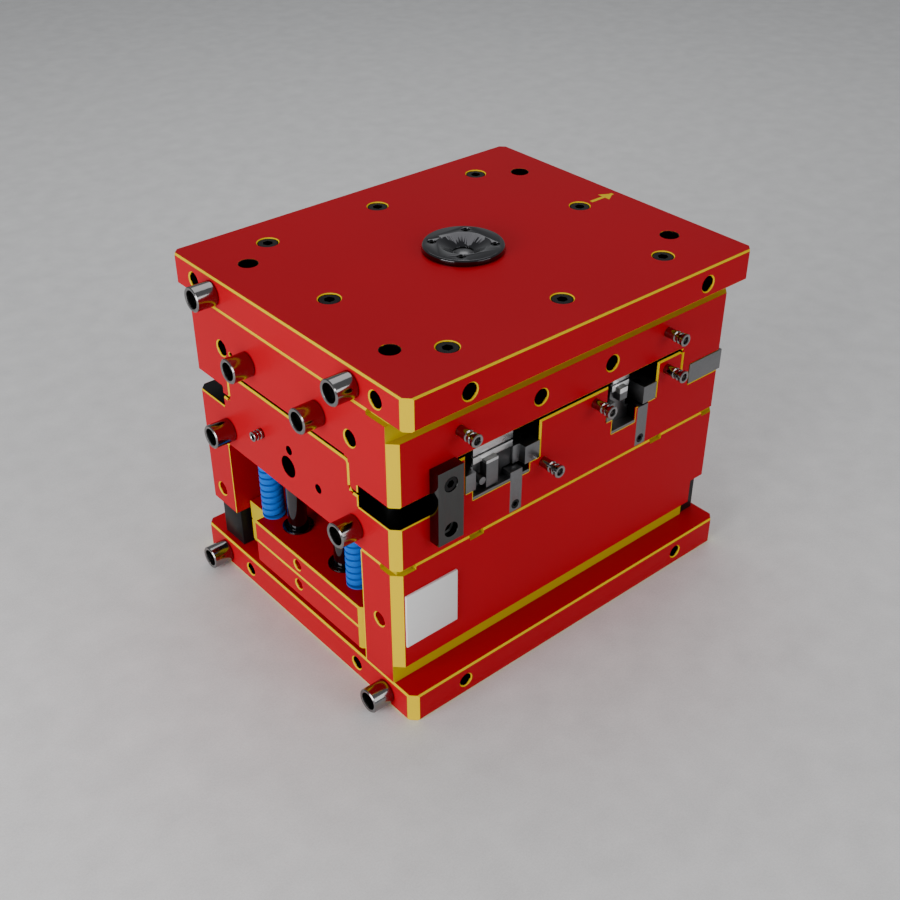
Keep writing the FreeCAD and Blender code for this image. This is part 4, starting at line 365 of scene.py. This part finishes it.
@dataclass(frozen=True)
class MetalFinish:
    """Bare or plated metal with grinding grain, and painted highlights: boxes given a lighter colour where
    light falls on a face.
    """

    name: str
    colour: tuple[float, float, float]
    roughness: float
    metallic: float = 1.0
    grain: float = 500.0
    stretch: tuple[float, float, float] = (1.0, 1.0, 1.0)
    spread: float = 0.12
    bump: float = 0.05
    coat: float = 0.0
    contrast: float = 0.25
    gleam: float = 0.5
    polished_sides: float = 0.0
    # Painted highlight: faces inside these boxes take the lighter colour below, which stands in for light
    # falling on them.
    highlight_boxes: tuple[Box, ...] = ()
    bright: tuple[float, float, float] = (0.8, 0.8, 0.8)

    def build(self) -> bpy.types.Material:
        """Make the material."""
        material = bpy.data.materials.new(self.name)
        material.use_nodes = True
        tree = material.node_tree
        shader = tree.nodes["Principled BSDF"]
        grain = use_group(
            tree, "grain", {"Grain": self.grain, "Stretch": self.stretch, "Smudge": 22.0}
        )
        dark = (*[c * (1.0 - self.contrast) for c in self.colour], 1.0)
        light = (*[min(1.0, c * (1.0 + self.contrast)) for c in self.colour], 1.0)
        noises = math_node(tree, "ADD", grain.outputs["Smudges"], grain.outputs["Fine"])
        blend = math_node(tree, "MULTIPLY", noises, 0.5)
        colour = mix_colour(tree, blend, dark, light)
        # Painted highlight: a lighter colour inside the highlight boxes.
        if self.highlight_boxes:
            highlight_strip = boxes_mask(tree, "one_box", self.highlight_boxes)
            colour = mix_colour(tree, highlight_strip, colour, (*self.bright, 1.0))
        tree.links.new(colour, shader.inputs["Base Color"])
        centred = math_node(tree, "SUBTRACT", grain.outputs["Smudges"], 0.5)
        swing = math_node(tree, "MULTIPLY", centred, self.spread * 2)
        gloss = math_node(tree, "ADD", swing, self.roughness)
        if self.polished_sides:
            front = use_group(tree, "front").outputs["Mask"]
            rougher = math_node(tree, "SUBTRACT", gloss, self.polished_sides)
            ground = math_node(tree, "MULTIPLY", front, rougher)
            gloss = math_node(tree, "ADD", ground, self.polished_sides)
        tree.links.new(gloss, shader.inputs["Roughness"])
        relief = tree.nodes.new("ShaderNodeBump")
        relief.inputs["Strength"].default_value = self.bump
        relief.inputs["Distance"].default_value = GRAIN_DEPTH
        tree.links.new(grain.outputs["Fine"], relief.inputs["Height"])
        tree.links.new(relief.outputs[0], shader.inputs["Normal"])
        shader.inputs["Metallic"].default_value = self.metallic
        shader.inputs["Specular IOR Level"].default_value = self.gleam
        shader.inputs["Coat Weight"].default_value = self.coat
        return material


@dataclass(frozen=True)
class PlateFinish:
    """Red enamel on a plate whose bevels are amber; its reliefs take amber darkened as painted shade, and
    the bare steel inside its cut-outs is painted near black as painted shade.
    """

    name: str
    half_wide: float
    inner: tuple[Box, ...] = ()
    shaded_amber_boxes: tuple[Box, ...] = ()
    amber_lines: tuple[Box, ...] = ()
    bores: tuple[Box, ...] = ()
    arrow: bool = False
    top_band: float = NO_TOP_BAND
    corner: float = 0.0105
    red: tuple[float, float, float] = (0.5, 0.002, 0.012)
    amber: tuple[float, float, float] = (0.86, 0.6, 0.005)
    # Painted shade: amber darkened for reliefs that lie in shadow under overhangs and in notches.
    amber_in_shade: tuple[float, float, float] = (0.55, 0.42, 0.01)
    # Bare steel of cut-outs and bores, partly its own metal and partly painted shade: near black for the
    # shade in these recesses.
    steel: tuple[float, float, float] = (0.012, 0.012, 0.013)

    def build(self) -> bpy.types.Material:
        """Make the material."""
        material = bpy.data.materials.new(self.name)
        material.use_nodes = True
        tree = material.node_tree
        shader = tree.nodes["Principled BSDF"]
        grain = use_group(tree, "grain", {"Grain": 900.0, "Smudge": 5.0})
        smudges = grain.outputs["Smudges"]
        edges = use_group(
            tree,
            "edges",
            {
                "HalfLong": HALF_LONG,
                "HalfWide": self.half_wide,
                "CornerSum": HALF_LONG + self.half_wide - self.corner - 0.0002,
                "TopBand": self.top_band,
            },
        )
        colour = mix_colour(tree, smudges, (*[c * 0.86 for c in self.red], 1.0), (*self.red, 1.0))
        bare = None
        # Painted shade: faces inside the plate's cut-outs take the near-black steel.
        if self.inner:
            bare = boxes_mask(tree, "box", self.inner)
            colour = mix_colour(tree, bare, colour, (*self.steel, 1.0))
        # Painted shade: the relief boxes take the darkened amber.
        if self.shaded_amber_boxes:
            amber_in_shade = boxes_mask(tree, "box", self.shaded_amber_boxes)
            colour = mix_colour(tree, amber_in_shade, colour, (*self.amber_in_shade, 1.0))
            if bare is not None:
                bare = all_of(tree, [bare, math_node(tree, "SUBTRACT", 1.0, amber_in_shade)])
        amber_masks = [edges.outputs["Mask"]]
        if self.amber_lines:
            amber_masks.append(boxes_mask(tree, "one_box", self.amber_lines))
        if self.arrow:
            amber_masks.append(use_group(tree, "arrow").outputs["Mask"])
        amber = any_of(tree, amber_masks)
        pale = mix_colour(tree, smudges, (*[c * 0.86 for c in self.amber], 1.0), (*self.amber, 1.0))
        colour = mix_colour(tree, amber, colour, pale)
        if bare is not None:
            bare = math_node(tree, "MULTIPLY", bare, math_node(tree, "SUBTRACT", 1.0, amber))
        # Painted shade: bores take the near-black steel as well.
        if self.bores:
            bored = boxes_mask(tree, "box", self.bores)
            colour = mix_colour(tree, bored, colour, (*self.steel, 1.0))
            bare = bored if bare is None else any_of(tree, [bare, bored])
        if bare is not None:
            tree.links.new(bare, shader.inputs["Metallic"])
        tree.links.new(colour, shader.inputs["Base Color"])
        gloss = math_node(tree, "MULTIPLY", smudges, 0.14)
        tree.links.new(math_node(tree, "ADD", gloss, 0.27), shader.inputs["Roughness"])
        relief = tree.nodes.new("ShaderNodeBump")
        relief.inputs["Strength"].default_value = 0.05
        relief.inputs["Distance"].default_value = GRAIN_DEPTH
        tree.links.new(grain.outputs["Fine"], relief.inputs["Height"])
        tree.links.new(relief.outputs[0], shader.inputs["Normal"])
        shader.inputs["Specular IOR Level"].default_value = 0.06
        return material


class Unit(Enum):
    """Slide windows on the front face: left, right, floor, pocket sides, pocket floor, strip top."""

    FIRST = (-0.169, -0.057, 0.272, -0.1585, -0.072, 0.259, 0.306)
    SECOND = (0.055, 0.142, 0.272, 0.065, 0.107, 0.251, 0.311)


def highlight_strips(unit: Unit) -> tuple[Box, ...]:
    """Painted highlight strip along the top of a slide's front: a lighter band that stands in for light
    falling there.
    """
    left, right, _, _, _, _, top = unit.value
    return (((left, -0.2001, top - 0.0088), (right, -0.186, top + 0.0002)),)


METALS = {
    "steel": MetalFinish(
        "ground_steel", (0.20, 0.20, 0.205), 0.36, grain=420.0, stretch=(1.0, 0.15, 1.0),
    ),
    # The two slides share one steel and differ only in their painted highlight strip, grey on the first and
    # near white on the second.
    "slide_one": MetalFinish(
        "slide_steel_dim_highlight", (0.17, 0.17, 0.175), 0.34, grain=420.0, stretch=(0.2, 1.0, 1.0),
        highlight_boxes=highlight_strips(Unit.FIRST), bright=(0.62, 0.62, 0.62),
    ),
    "slide_two": MetalFinish(
        "slide_steel_bright_highlight", (0.17, 0.17, 0.175), 0.34, grain=420.0, stretch=(0.2, 1.0, 1.0),
        highlight_boxes=highlight_strips(Unit.SECOND), bright=(0.92, 0.92, 0.92),
    ),
    "bright": MetalFinish(
        "bright_steel", (0.62, 0.62, 0.63), 0.28, grain=420.0, stretch=(0.2, 1.0, 1.0),
    ),
    "strap": MetalFinish(
        "strap_steel", (0.085, 0.085, 0.083), 0.42, grain=380.0, stretch=(1.0, 1.0, 0.2),
        contrast=0.15, polished_sides=0.07,
    ),
    "dark": MetalFinish(
        "dark_steel", (0.09, 0.09, 0.095), 0.2, grain=700.0, spread=0.06, contrast=0.12,
    ),
    "pin": MetalFinish("pin_steel", (0.5, 0.5, 0.5), 0.24, grain=700.0, spread=0.06, contrast=0.1),
    "nipple": MetalFinish(
        "nipple_steel", (0.3, 0.29, 0.29), 0.1, grain=700.0, spread=0.04, contrast=0.06, bump=0.02,
    ),
    "foot": MetalFinish(
        "foot_steel", (0.24, 0.235, 0.235), 0.15, grain=700.0, spread=0.05, contrast=0.1,
    ),
    "chrome": MetalFinish(
        "black_chrome", (0.05, 0.05, 0.055), 0.08, grain=900.0, spread=0.03, bump=0.01, coat=0.6,
    ),
    # Near-black screws, partly painted shade: darkened so heads that sit deep in their holes read as
    # shaded.
    "screw": MetalFinish("screw_steel", (0.02, 0.02, 0.021), 0.26, grain=900.0),
    "spring": MetalFinish(
        "spring_enamel", (0.002, 0.13, 0.62), 0.3, metallic=0.0, grain=500.0, spread=0.05,
        contrast=0.1, gleam=0.1,
    ),
    "plastic": MetalFinish(
        "switch_case", (0.008, 0.008, 0.009), 0.4, metallic=0.0, grain=900.0, bump=0.12, gleam=0.15,
    ),
    "tag": MetalFinish(
        "bare_plate", (0.86, 0.86, 0.85), 0.38, metallic=0.1, grain=500.0, stretch=(0.1, 1.0, 1.0),
        contrast=0.05,
    ),
}


# --------------------------------------------------------------------------- mesh helpers


def finish_mesh(
    name: str, bm: bmesh.types.BMesh, materials: list[bpy.types.Material], smooth: float = 35.0
) -> bpy.types.Object:
    """Clean a bmesh, make an object of it at the origin and shade it smooth but for its sharp edges.

    Args:
        name: object name.
        bm: the mesh, in metres in the row frame.
        materials: material slots in order.
        smooth: angle in degrees above which an edge stays sharp.

    Returns:
        The object.
    """
    bmesh.ops.remove_doubles(bm, verts=bm.verts, dist=1e-6)
    bmesh.ops.recalc_face_normals(bm, faces=bm.faces)
    for face in bm.faces:
        face.smooth = True
    for edge in bm.edges:
        if len(edge.link_faces) == 2 and edge.calc_face_angle(0.0) > math.radians(smooth):
            edge.smooth = False
    mesh = bpy.data.meshes.new(name)
    bm.to_mesh(mesh)
    bm.free()
    obj = bpy.data.objects.new(name, mesh)
    bpy.context.scene.collection.objects.link(obj)
    for material in materials:
        mesh.materials.append(material)
    return obj


def turned(
    bm: bmesh.types.BMesh, profile: list[tuple[float, float]], base: Vector, axis: Axis,
    steps: int = 48,
) -> None:
    """Turn a profile round an axis, as on a lathe.

    Args:
        bm: mesh that receives the shape.
        profile: radius and distance along the axis, in millimetres, in order round the outline.
        base: where the axis leaves the carrying face, in metres.
        axis: direction of the axis.
        steps: number of faces round.
    """
    turn = Vector((0.0, 0.0, 1.0)).rotation_difference(Vector(axis.value)).to_matrix().to_4x4()
    matrix = Matrix.Translation(base) @ turn
    points = [bm.verts.new((r * MM, 0.0, h * MM)) for r, h in profile]
    edges = [bm.edges.new(pair) for pair in zip(points, points[1:])]
    before = set(bm.faces)
    bmesh.ops.spin(
        bm, geom=points + edges, cent=(0, 0, 0), axis=(0, 0, 1), angle=math.tau, steps=steps,
        use_merge=True,
    )
    made = [face for face in bm.faces if face not in before]
    verts = {vert for face in made for vert in face.verts}
    bmesh.ops.transform(bm, matrix=matrix, verts=list(verts))


def dress(material: bpy.types.Material, *nodes: str) -> None:
    """Give CAD nodes a material through their object's slots."""
    for name in nodes:
        obj = frame["nodes"][name]
        if not obj.material_slots:
            obj.data.materials.append(None)
        for slot in obj.material_slots:
            slot.link = "OBJECT"
            slot.material = material


# --------------------------------------------------------------------------- sub-assemblies


def window_lines(unit: Unit, thick: float = 0.0009) -> tuple[Box, ...]:
    """Thin amber lines along the lower pocket of a slide window, on the front face."""
    left, right, floor, low_left, low_right, low_floor, _ = unit.value
    return (
        ((low_left, -0.2001, low_floor - thick), (low_right, -0.19985, low_floor)),
        ((left, -0.2001, floor - thick), (low_left, -0.19985, floor)),
        ((low_right, -0.2001, floor - thick), (right, -0.19985, floor)),
        ((low_left - thick, -0.2001, low_floor), (low_left, -0.19985, floor)),
        ((low_right, -0.2001, low_floor), (low_right + thick, -0.19985, floor)),
    )


@dataclass
class PlateStack:
    """The painted plates: clamp plates, cavity and core plates, spacers and ejector plates."""

    deep: float = 0.2684
    front: float = 0.1984
    outside: float = 0.26995

    def build(self) -> list[str]:
        """Dress each plate with its own amber and bare places."""
        clamp_front = 0.2234
        top = PlateFinish(
            "clamp_plate_enamel", CLAMP_HALF_WIDE, top_band=0.4437, arrow=True,
            inner=(((-1.0, -1.0, 0.4052), (self.deep, clamp_front, 0.4439)),),
            bores=(((0.205, 0.122, 0.41), (0.231, 0.148, 0.44497)),),
        )
        base = PlateFinish(
            "base_plate_enamel", CLAMP_HALF_WIDE,
            inner=(((-1.0, -1.0, 0.0005), (self.deep, clamp_front, 0.0395)),),
        )
        cavity = PlateFinish(
            "cavity_plate_enamel", HALF_WIDE,
            inner=(((-1.0, -1.0, 0.2852), (self.deep, self.front, 0.4048)),),
            shaded_amber_boxes=(
                ((0.0, 0.1893, 0.3775), (0.28, 0.1999, 0.4049)),
                ((0.2635, 0.1578, 0.3984), (0.2699, 0.1898, 0.42)),
            ),
        )
        core = PlateFinish(
            "core_plate_enamel", HALF_WIDE,
            inner=(((-1.0, -1.0, 0.2102), (self.deep, self.front, 0.3222)),),
            amber_lines=window_lines(Unit.FIRST) + window_lines(Unit.SECOND),
            bores=(
                ((0.2, -1.0, 0.2345), (self.outside, 0.0145, 0.2635)),
                ((0.2, -1.0, 0.2678), (self.outside, 0.0102, 0.2802)),
                ((0.2, 0.0538, 0.2438), (self.outside, 0.0662, 0.2562)),
            ),
        )
        spacer = PlateFinish(
            "spacer_enamel", HALF_WIDE,
            amber_lines=(
                ((-0.2701, 0.1369, 0.0402), (-0.2698, 0.1385, 0.2098)),
                ((-0.2701, -0.1385, 0.0402), (-0.2698, -0.1369, 0.2098)),
            ),
            shaded_amber_boxes=(
                ((0.0, 0.1893, 0.03), (0.28, 0.1999, 0.0672)),
                ((0.2636, 0.1718, 0.2036), (0.2699, 0.21, 0.2099)),
                ((0.2408, 0.1936, 0.2036), (0.28, 0.1999, 0.2099)),
                ((0.1408, 0.1936, 0.2036), (0.1622, 0.1999, 0.2099)),
            ),
        )
        ejector = PlateFinish(
            "ejector_plate_enamel", 0.135,
            shaded_amber_boxes=(((0.2498, 0.0915, 0.0505), (0.2699, 0.1349, 0.1146)),),
        )
        dress(top.build(), "top_clamp_plate")
        dress(base.build(), "bottom_clamp_plate")
        dress(cavity.build(), "a_plate")
        dress(core.build(), "b_plate")
        dress(spacer.build(), "spacer_block_front", "spacer_block_rear")
        dress(ejector.build(), "ejector_plate", "ejector_retainer_plate")
        return ["painted plates"]


@dataclass
class BareMetal:
    """CAD nodes that keep their shape and take a metal finish."""

    finishes: dict[str, bpy.types.Material]
    plan: dict[str, tuple[str, ...]] = field(default_factory=lambda: {
        "steel": ("core_insert", "cavity_insert", "support_pillars", "sprue_bushing", "rest_buttons"),
        "bright": ("angle_pin_first", "angle_pin_second"),
        "pin": ("leader_pins", "leader_bushings"),
        "dark": ("return_pins", "ejector_pins", "sprue_puller"),
        "chrome": ("ejector_guide_pins",),
        "screw": (
            "ring_screws", "base_screws", "pillar_screws", "core_insert_screws",
            "cavity_insert_screws", "ejector_screws", "gib_screws_first", "gib_screws_second",
            "heel_screws", "stop_bracket_screws", "slot_block_screws", "strap_screw",
            "clamp_screws",
        ),
    })

    def build(self) -> list[str]:
        """Dress every node of the plan."""
        for finish, nodes in self.plan.items():
            dress(self.finishes[finish], *nodes)
        return ["bare metal"]


@dataclass
class EasedMetal:
    """Machined blocks whose sharp edges are broken, so that they catch the light."""

    finishes: dict[str, bpy.types.Material]
    plan: dict[str, tuple[tuple[str, float], ...]] = field(default_factory=lambda: {
        "slide_one": (("slide_first", 0.45),),
        "slide_two": (("slide_second", 0.45),),
        "steel": (("slide_gibs_first", 0.5), ("slide_gibs_second", 0.5), ("stop_bracket_first", 0.6),
                  ("stop_bracket_second", 0.6), ("wear_plate_first", 0.3), ("wear_plate_second", 0.3),
                  ("slot_block", 0.6), ("slide_bolt_first", 0.6)),
        "bright": (("heel_block_first", 0.4), ("heel_block_second", 0.4)),
        "strap": (("safety_strap", 0.8),),
        "chrome": (("locating_ring", 0.35), ("ejector_guide_bushings", 0.6)),
        "tag": (("name_plate", 0.4),),
        "plastic": (("limit_switches", 1.2),),
    })
    flat_angle: float = 0.5
    sharp_angle: float = 38.0

    def eased(self, source: bpy.types.Object, width: float) -> bmesh.types.BMesh:
        """Copy a node's mesh, join its triangles to plane faces and round its sharp edges.

        Args:
            source: the CAD node.
            width: width of the rounding in millimetres.

        Returns:
            The new mesh.
        """
        bm = bmesh.new()
        bm.from_mesh(source.data)
        bmesh.ops.remove_doubles(bm, verts=bm.verts, dist=2e-6)
        bmesh.ops.dissolve_limit(
            bm, angle_limit=math.radians(self.flat_angle), verts=bm.verts, edges=bm.edges,
            delimit={"NORMAL"},
        )
        limit = math.radians(self.sharp_angle)
        sharp = [
            edge for edge in bm.edges
            if len(edge.link_faces) == 2 and edge.calc_face_angle(0.0) > limit
        ]
        bmesh.ops.bevel(
            bm, geom=sharp, offset=width * MM, affect="EDGES", segments=2, profile=0.5,
            material=-1, clamp_overlap=True,
        )
        return bm

    def build(self) -> list[str]:
        """Make an eased copy of every node of the plan."""
        made = []
        for finish, rows in self.plan.items():
            for node, width in rows:
                source = frame["nodes"][node]
                bm = self.eased(source, width)
                obj = finish_mesh(node + "_eased", bm, [self.finishes[finish]])
                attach(obj, body_of(source)[0])
                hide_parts(node)
                made.append(obj.name)
        return made


@dataclass
class ReturnSprings:
    """Four blue flat-wire coils round the return pins."""

    finishes: dict[str, bpy.types.Material]
    across: float = 242.0
    along: float = 90.0
    low: float = 115.2
    high: float = 209.8
    outer: float = 14.8
    inner: float = 9.2
    wire: float = 7.7
    turns: int = 9

    steps: int = 28
    rounding: float = 1.7
    ring: float = 2.6

    def coil(self, bm: bmesh.types.BMesh, x: float, y: float) -> None:
        """Wind one coil and set a ground ring at each end."""
        run = self.high - self.low - self.wire
        corners = [
            (self.inner, 0.0), (self.outer, 0.0), (self.outer, self.wire), (self.inner, self.wire),
        ]
        verts = [bm.verts.new(((x + r) * MM, y * MM, (self.low + h) * MM)) for r, h in corners]
        face = bm.faces.new(verts)
        bmesh.ops.bevel(
            bm, geom=list(face.verts), offset=self.rounding * MM, affect="VERTICES", segments=2,
            profile=0.5, material=-1,
        )
        middle = (x + (self.inner + self.outer) / 2) * MM
        outline = [
            f for f in bm.faces
            if all(abs(v.co.y - y * MM) < 1e-7 for v in f.verts)
            and abs(f.calc_center_median().x - middle) < 2 * MM
        ]
        edges = list({edge for f in outline for edge in f.edges})
        points = list({vert for f in outline for vert in f.verts})
        bmesh.ops.delete(bm, geom=outline, context="FACES_ONLY")
        bmesh.ops.spin(
            bm, geom=points + edges, cent=(x * MM, y * MM, 0), axis=(0, 0, 1),
            dvec=(0, 0, run * MM / (self.steps * self.turns)), angle=math.tau * self.turns,
            steps=self.steps * self.turns, use_merge=False,
        )
        profile = [
            (self.inner, 0), (self.outer - 0.8, 0), (self.outer, 0.8), (self.outer, self.ring),
            (self.inner, self.ring), (self.inner, 0),
        ]
        for end in (self.low, self.high - self.ring):
            turned(bm, profile, Vector((x * MM, y * MM, end * MM)), Axis.UP, 40)

    def build(self) -> list[str]:
        """Make the four springs as one piece and hang it on the ejector half."""
        bm = bmesh.new()
        for sx in (-1, 1):
            for sy in (-1, 1):
                self.coil(bm, sx * self.across, sy * self.along)
        open_ends = [edge for edge in bm.edges if edge.is_boundary]
        bmesh.ops.holes_fill(bm, edges=open_ends, sides=0)
        obj = finish_mesh("return_spring_coils", bm, [self.finishes["spring"]])
        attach(obj, "ejector_half")
        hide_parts("return_springs")
        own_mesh(obj)
        return [obj.name]


@dataclass
class StandingFeet:
    """Turned steel feet with a hollow end on the left faces."""

    finishes: dict[str, bpy.types.Material]
    radius: float = 15.5
    long: float = 28.0
    hollow: float = 11.0
    depth: float = 16.0

    def build(self) -> list[str]:
        """Turn the eight feet and hang each pair on its own half."""
        plan = (
            ("top_clamp_feet", "fixed_half", 134.0, 424.0),
            ("a_plate_feet", "fixed_half", 69.0, 357.5),
            ("b_plate_feet", "ejector_half", 129.0, 237.0),
            ("bottom_clamp_feet", "ejector_half", 175.0, 18.0),
        )
        floor = self.long - self.depth
        made = []
        for node, body, across, height in plan:
            bm = bmesh.new()
            for side in (-1, 1):
                base = Vector((-270 * MM, side * across * MM, height * MM))
                outline = [
                    (0.0, -6.0), (self.radius - 3.5, -6.0), (self.radius - 3.5, 0.4),
                    (self.radius - 0.8, 0.4), (self.radius, 1.2), (self.radius, self.long - 1.0),
                    (self.radius - 1.0, self.long), (self.hollow + 1.6, self.long),
                    (self.hollow + 0.4, self.long - 0.6), (self.hollow, self.long - 2.0),
                    (self.hollow, floor), (5.6, floor - 0.6), (5.6, floor - 6.0),
                    (0.0, floor - 7.0),
                ]
                turned(bm, outline, base, Axis.LEFT, 64)
            obj = finish_mesh(node + "_turned", bm, [self.finishes["foot"]])
            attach(obj, body)
            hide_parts(node)
            made.append(obj.name)
        return made


@dataclass
class WaterNipples:
    """Hose nipples of the water lines on the front face: polished tube with two barbs and an end ring."""

    finishes: dict[str, bpy.types.Material]
    radius: float = 6.3
    ring: float = 8.0
    long: float = 28.5
    bore: float = 4.0

    def build(self) -> list[str]:
        """Turn the five nipples and hang each set on its own half."""
        plan = (
            ("a_plate_nipples", "fixed_half", ((-178.0, 361.0), (152.7, 361.0))),
            ("b_plate_nipples", "ejector_half", ((-50.0, 263.0), (32.5, 309.0), (158.0, 308.0))),
        )
        barb, neck, throat = self.radius + 0.8, self.radius - 0.8, self.bore + 0.7
        profile = [
            (self.bore, -4.0), (self.radius, -4.0), (self.radius, 11.0), (barb, 12.0),
            (barb, 14.6), (self.radius - 0.6, 15.6), (self.radius - 0.6, 17.4),
            (barb, 18.4), (barb, 20.6), (neck, 21.6),
            (neck, self.long - 5.2), (self.ring - 0.5, self.long - 4.4),
            (self.ring, self.long - 3.9), (self.ring, self.long - 0.7), (self.ring - 0.7, self.long),
            (self.bore + 1.3, self.long), (throat, self.long - 0.7), (throat, self.long - 5.0),
            (self.bore, self.long - 6.0), (self.bore, -4.0),
        ]
        made = []
        for node, body, places in plan:
            bm = bmesh.new()
            for across, height in places:
                base = Vector((across * MM, -200 * MM, height * MM))
                turned(bm, profile, base, Axis.FRONT, 40)
            obj = finish_mesh(node + "_turned", bm, [self.finishes["nipple"]])
            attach(obj, body)
            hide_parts(node)
            made.append(obj.name)
        bm = bmesh.new()
        end_profile = [
            (3.6, -4.0), (5.4, -4.0), (5.4, 0.8), (6.4, 1.4), (6.4, 3.4), (5.2, 4.2), (5.2, 5.2),
            (6.4, 6.0), (6.4, 8.0), (5.2, 8.8), (5.2, 9.6), (6.4, 10.2), (6.4, 12.6), (6.0, 13.0),
            (4.4, 13.0), (3.6, 12.2), (3.6, -4.0),
        ]
        turned(bm, end_profile, Vector((-270 * MM, 54 * MM, 269 * MM)), Axis.LEFT, 40)
        obj = finish_mesh("b_plate_end_nipple_turned", bm, [self.finishes["nipple"]])
        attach(obj, "ejector_half")
        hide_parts("b_plate_end_nipple")
        return [*made, obj.name]


@dataclass
class Studio:
    """Plain pale floor, soft lights and the camera."""

    camera_place: tuple[float, float, float] = (-0.9066, -1.03658, 1.09135)
    target: tuple[float, float, float] = (-0.0209, 0.0003, 0.16227)
    lens: float = 50.097

    def lamp(
        self, name: str, place: tuple[float, float, float], size: tuple[float, float], power: float
    ) -> None:
        """Add a soft white area light that points at the object."""
        data = bpy.data.lights.new(name, "AREA")
        data.shape = "RECTANGLE"
        data.size, data.size_y = size
        data.energy = power
        obj = bpy.data.objects.new(name, data)
        obj.location = place
        aim = Vector((0, 0, 0.22)) - Vector(place)
        obj.rotation_euler = aim.to_track_quat("-Z", "Y").to_euler()
        bpy.context.scene.collection.objects.link(obj)

    def build(self) -> list[str]:
        """Set up floor, lights, world and camera."""
        bm = bmesh.new()
        bmesh.ops.create_grid(bm, x_segments=1, y_segments=1, size=12.0)
        bmesh.ops.translate(bm, vec=(0, 0, -0.0004), verts=bm.verts)
        paper = MetalFinish("floor_paper", (0.8, 0.8, 0.8), 0.7, metallic=0.0, bump=0.0)
        floor = finish_mesh("studio_floor", bm, [paper.build()])
        world = bpy.data.worlds.new("studio_world")
        world.use_nodes = True
        background = world.node_tree.nodes["Background"]
        background.inputs[0].default_value = (0.9, 0.92, 0.95, 1)
        background.inputs[1].default_value = 0.3
        bpy.context.scene.world = world
        self.lamp("key_left", (-2.7, -0.3, 0.8), (1.8, 1.2), 66)
        self.lamp("fill_front", (0.9, -2.8, 1.3), (2.0, 1.4), 24)
        self.lamp("top_soft", (0.6, 0.9, 2.6), (2.2, 2.2), 22)
        data = bpy.data.cameras.new("studio_camera")
        data.lens = self.lens
        data.sensor_width = 36.0
        camera = bpy.data.objects.new("studio_camera", data)
        camera.location = self.camera_place
        gaze = Vector(self.target) - Vector(self.camera_place)
        camera.rotation_euler = gaze.to_track_quat("-Z", "Y").to_euler()
        bpy.context.scene.collection.objects.link(camera)
        bpy.context.scene.camera = camera
        return ["floor", "lights", "camera"]


def main() -> None:
    """Build every sub-assembly in order and log its pieces."""
    logging.basicConfig(level=logging.INFO, format="%(name)s: %(message)s")
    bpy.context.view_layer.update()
    GROUPS.update(
        box=place_masks("InMirroredBox", True), one_box=place_masks("InBox", False),
        edges=edge_masks(), front=front_mask(), arrow=arrow_mask(), grain=surface_grain(),
    )
    finishes = {name: finish.build() for name, finish in METALS.items()}
    for part in (
        PlateStack(), BareMetal(finishes), EasedMetal(finishes), ReturnSprings(finishes),
        StandingFeet(finishes), WaterNipples(finishes), Studio(),
    ):
        for piece in part.build():
            LOG.info("%s: %s", type(part).__name__, piece)


if __name__ == "__main__":
    main()
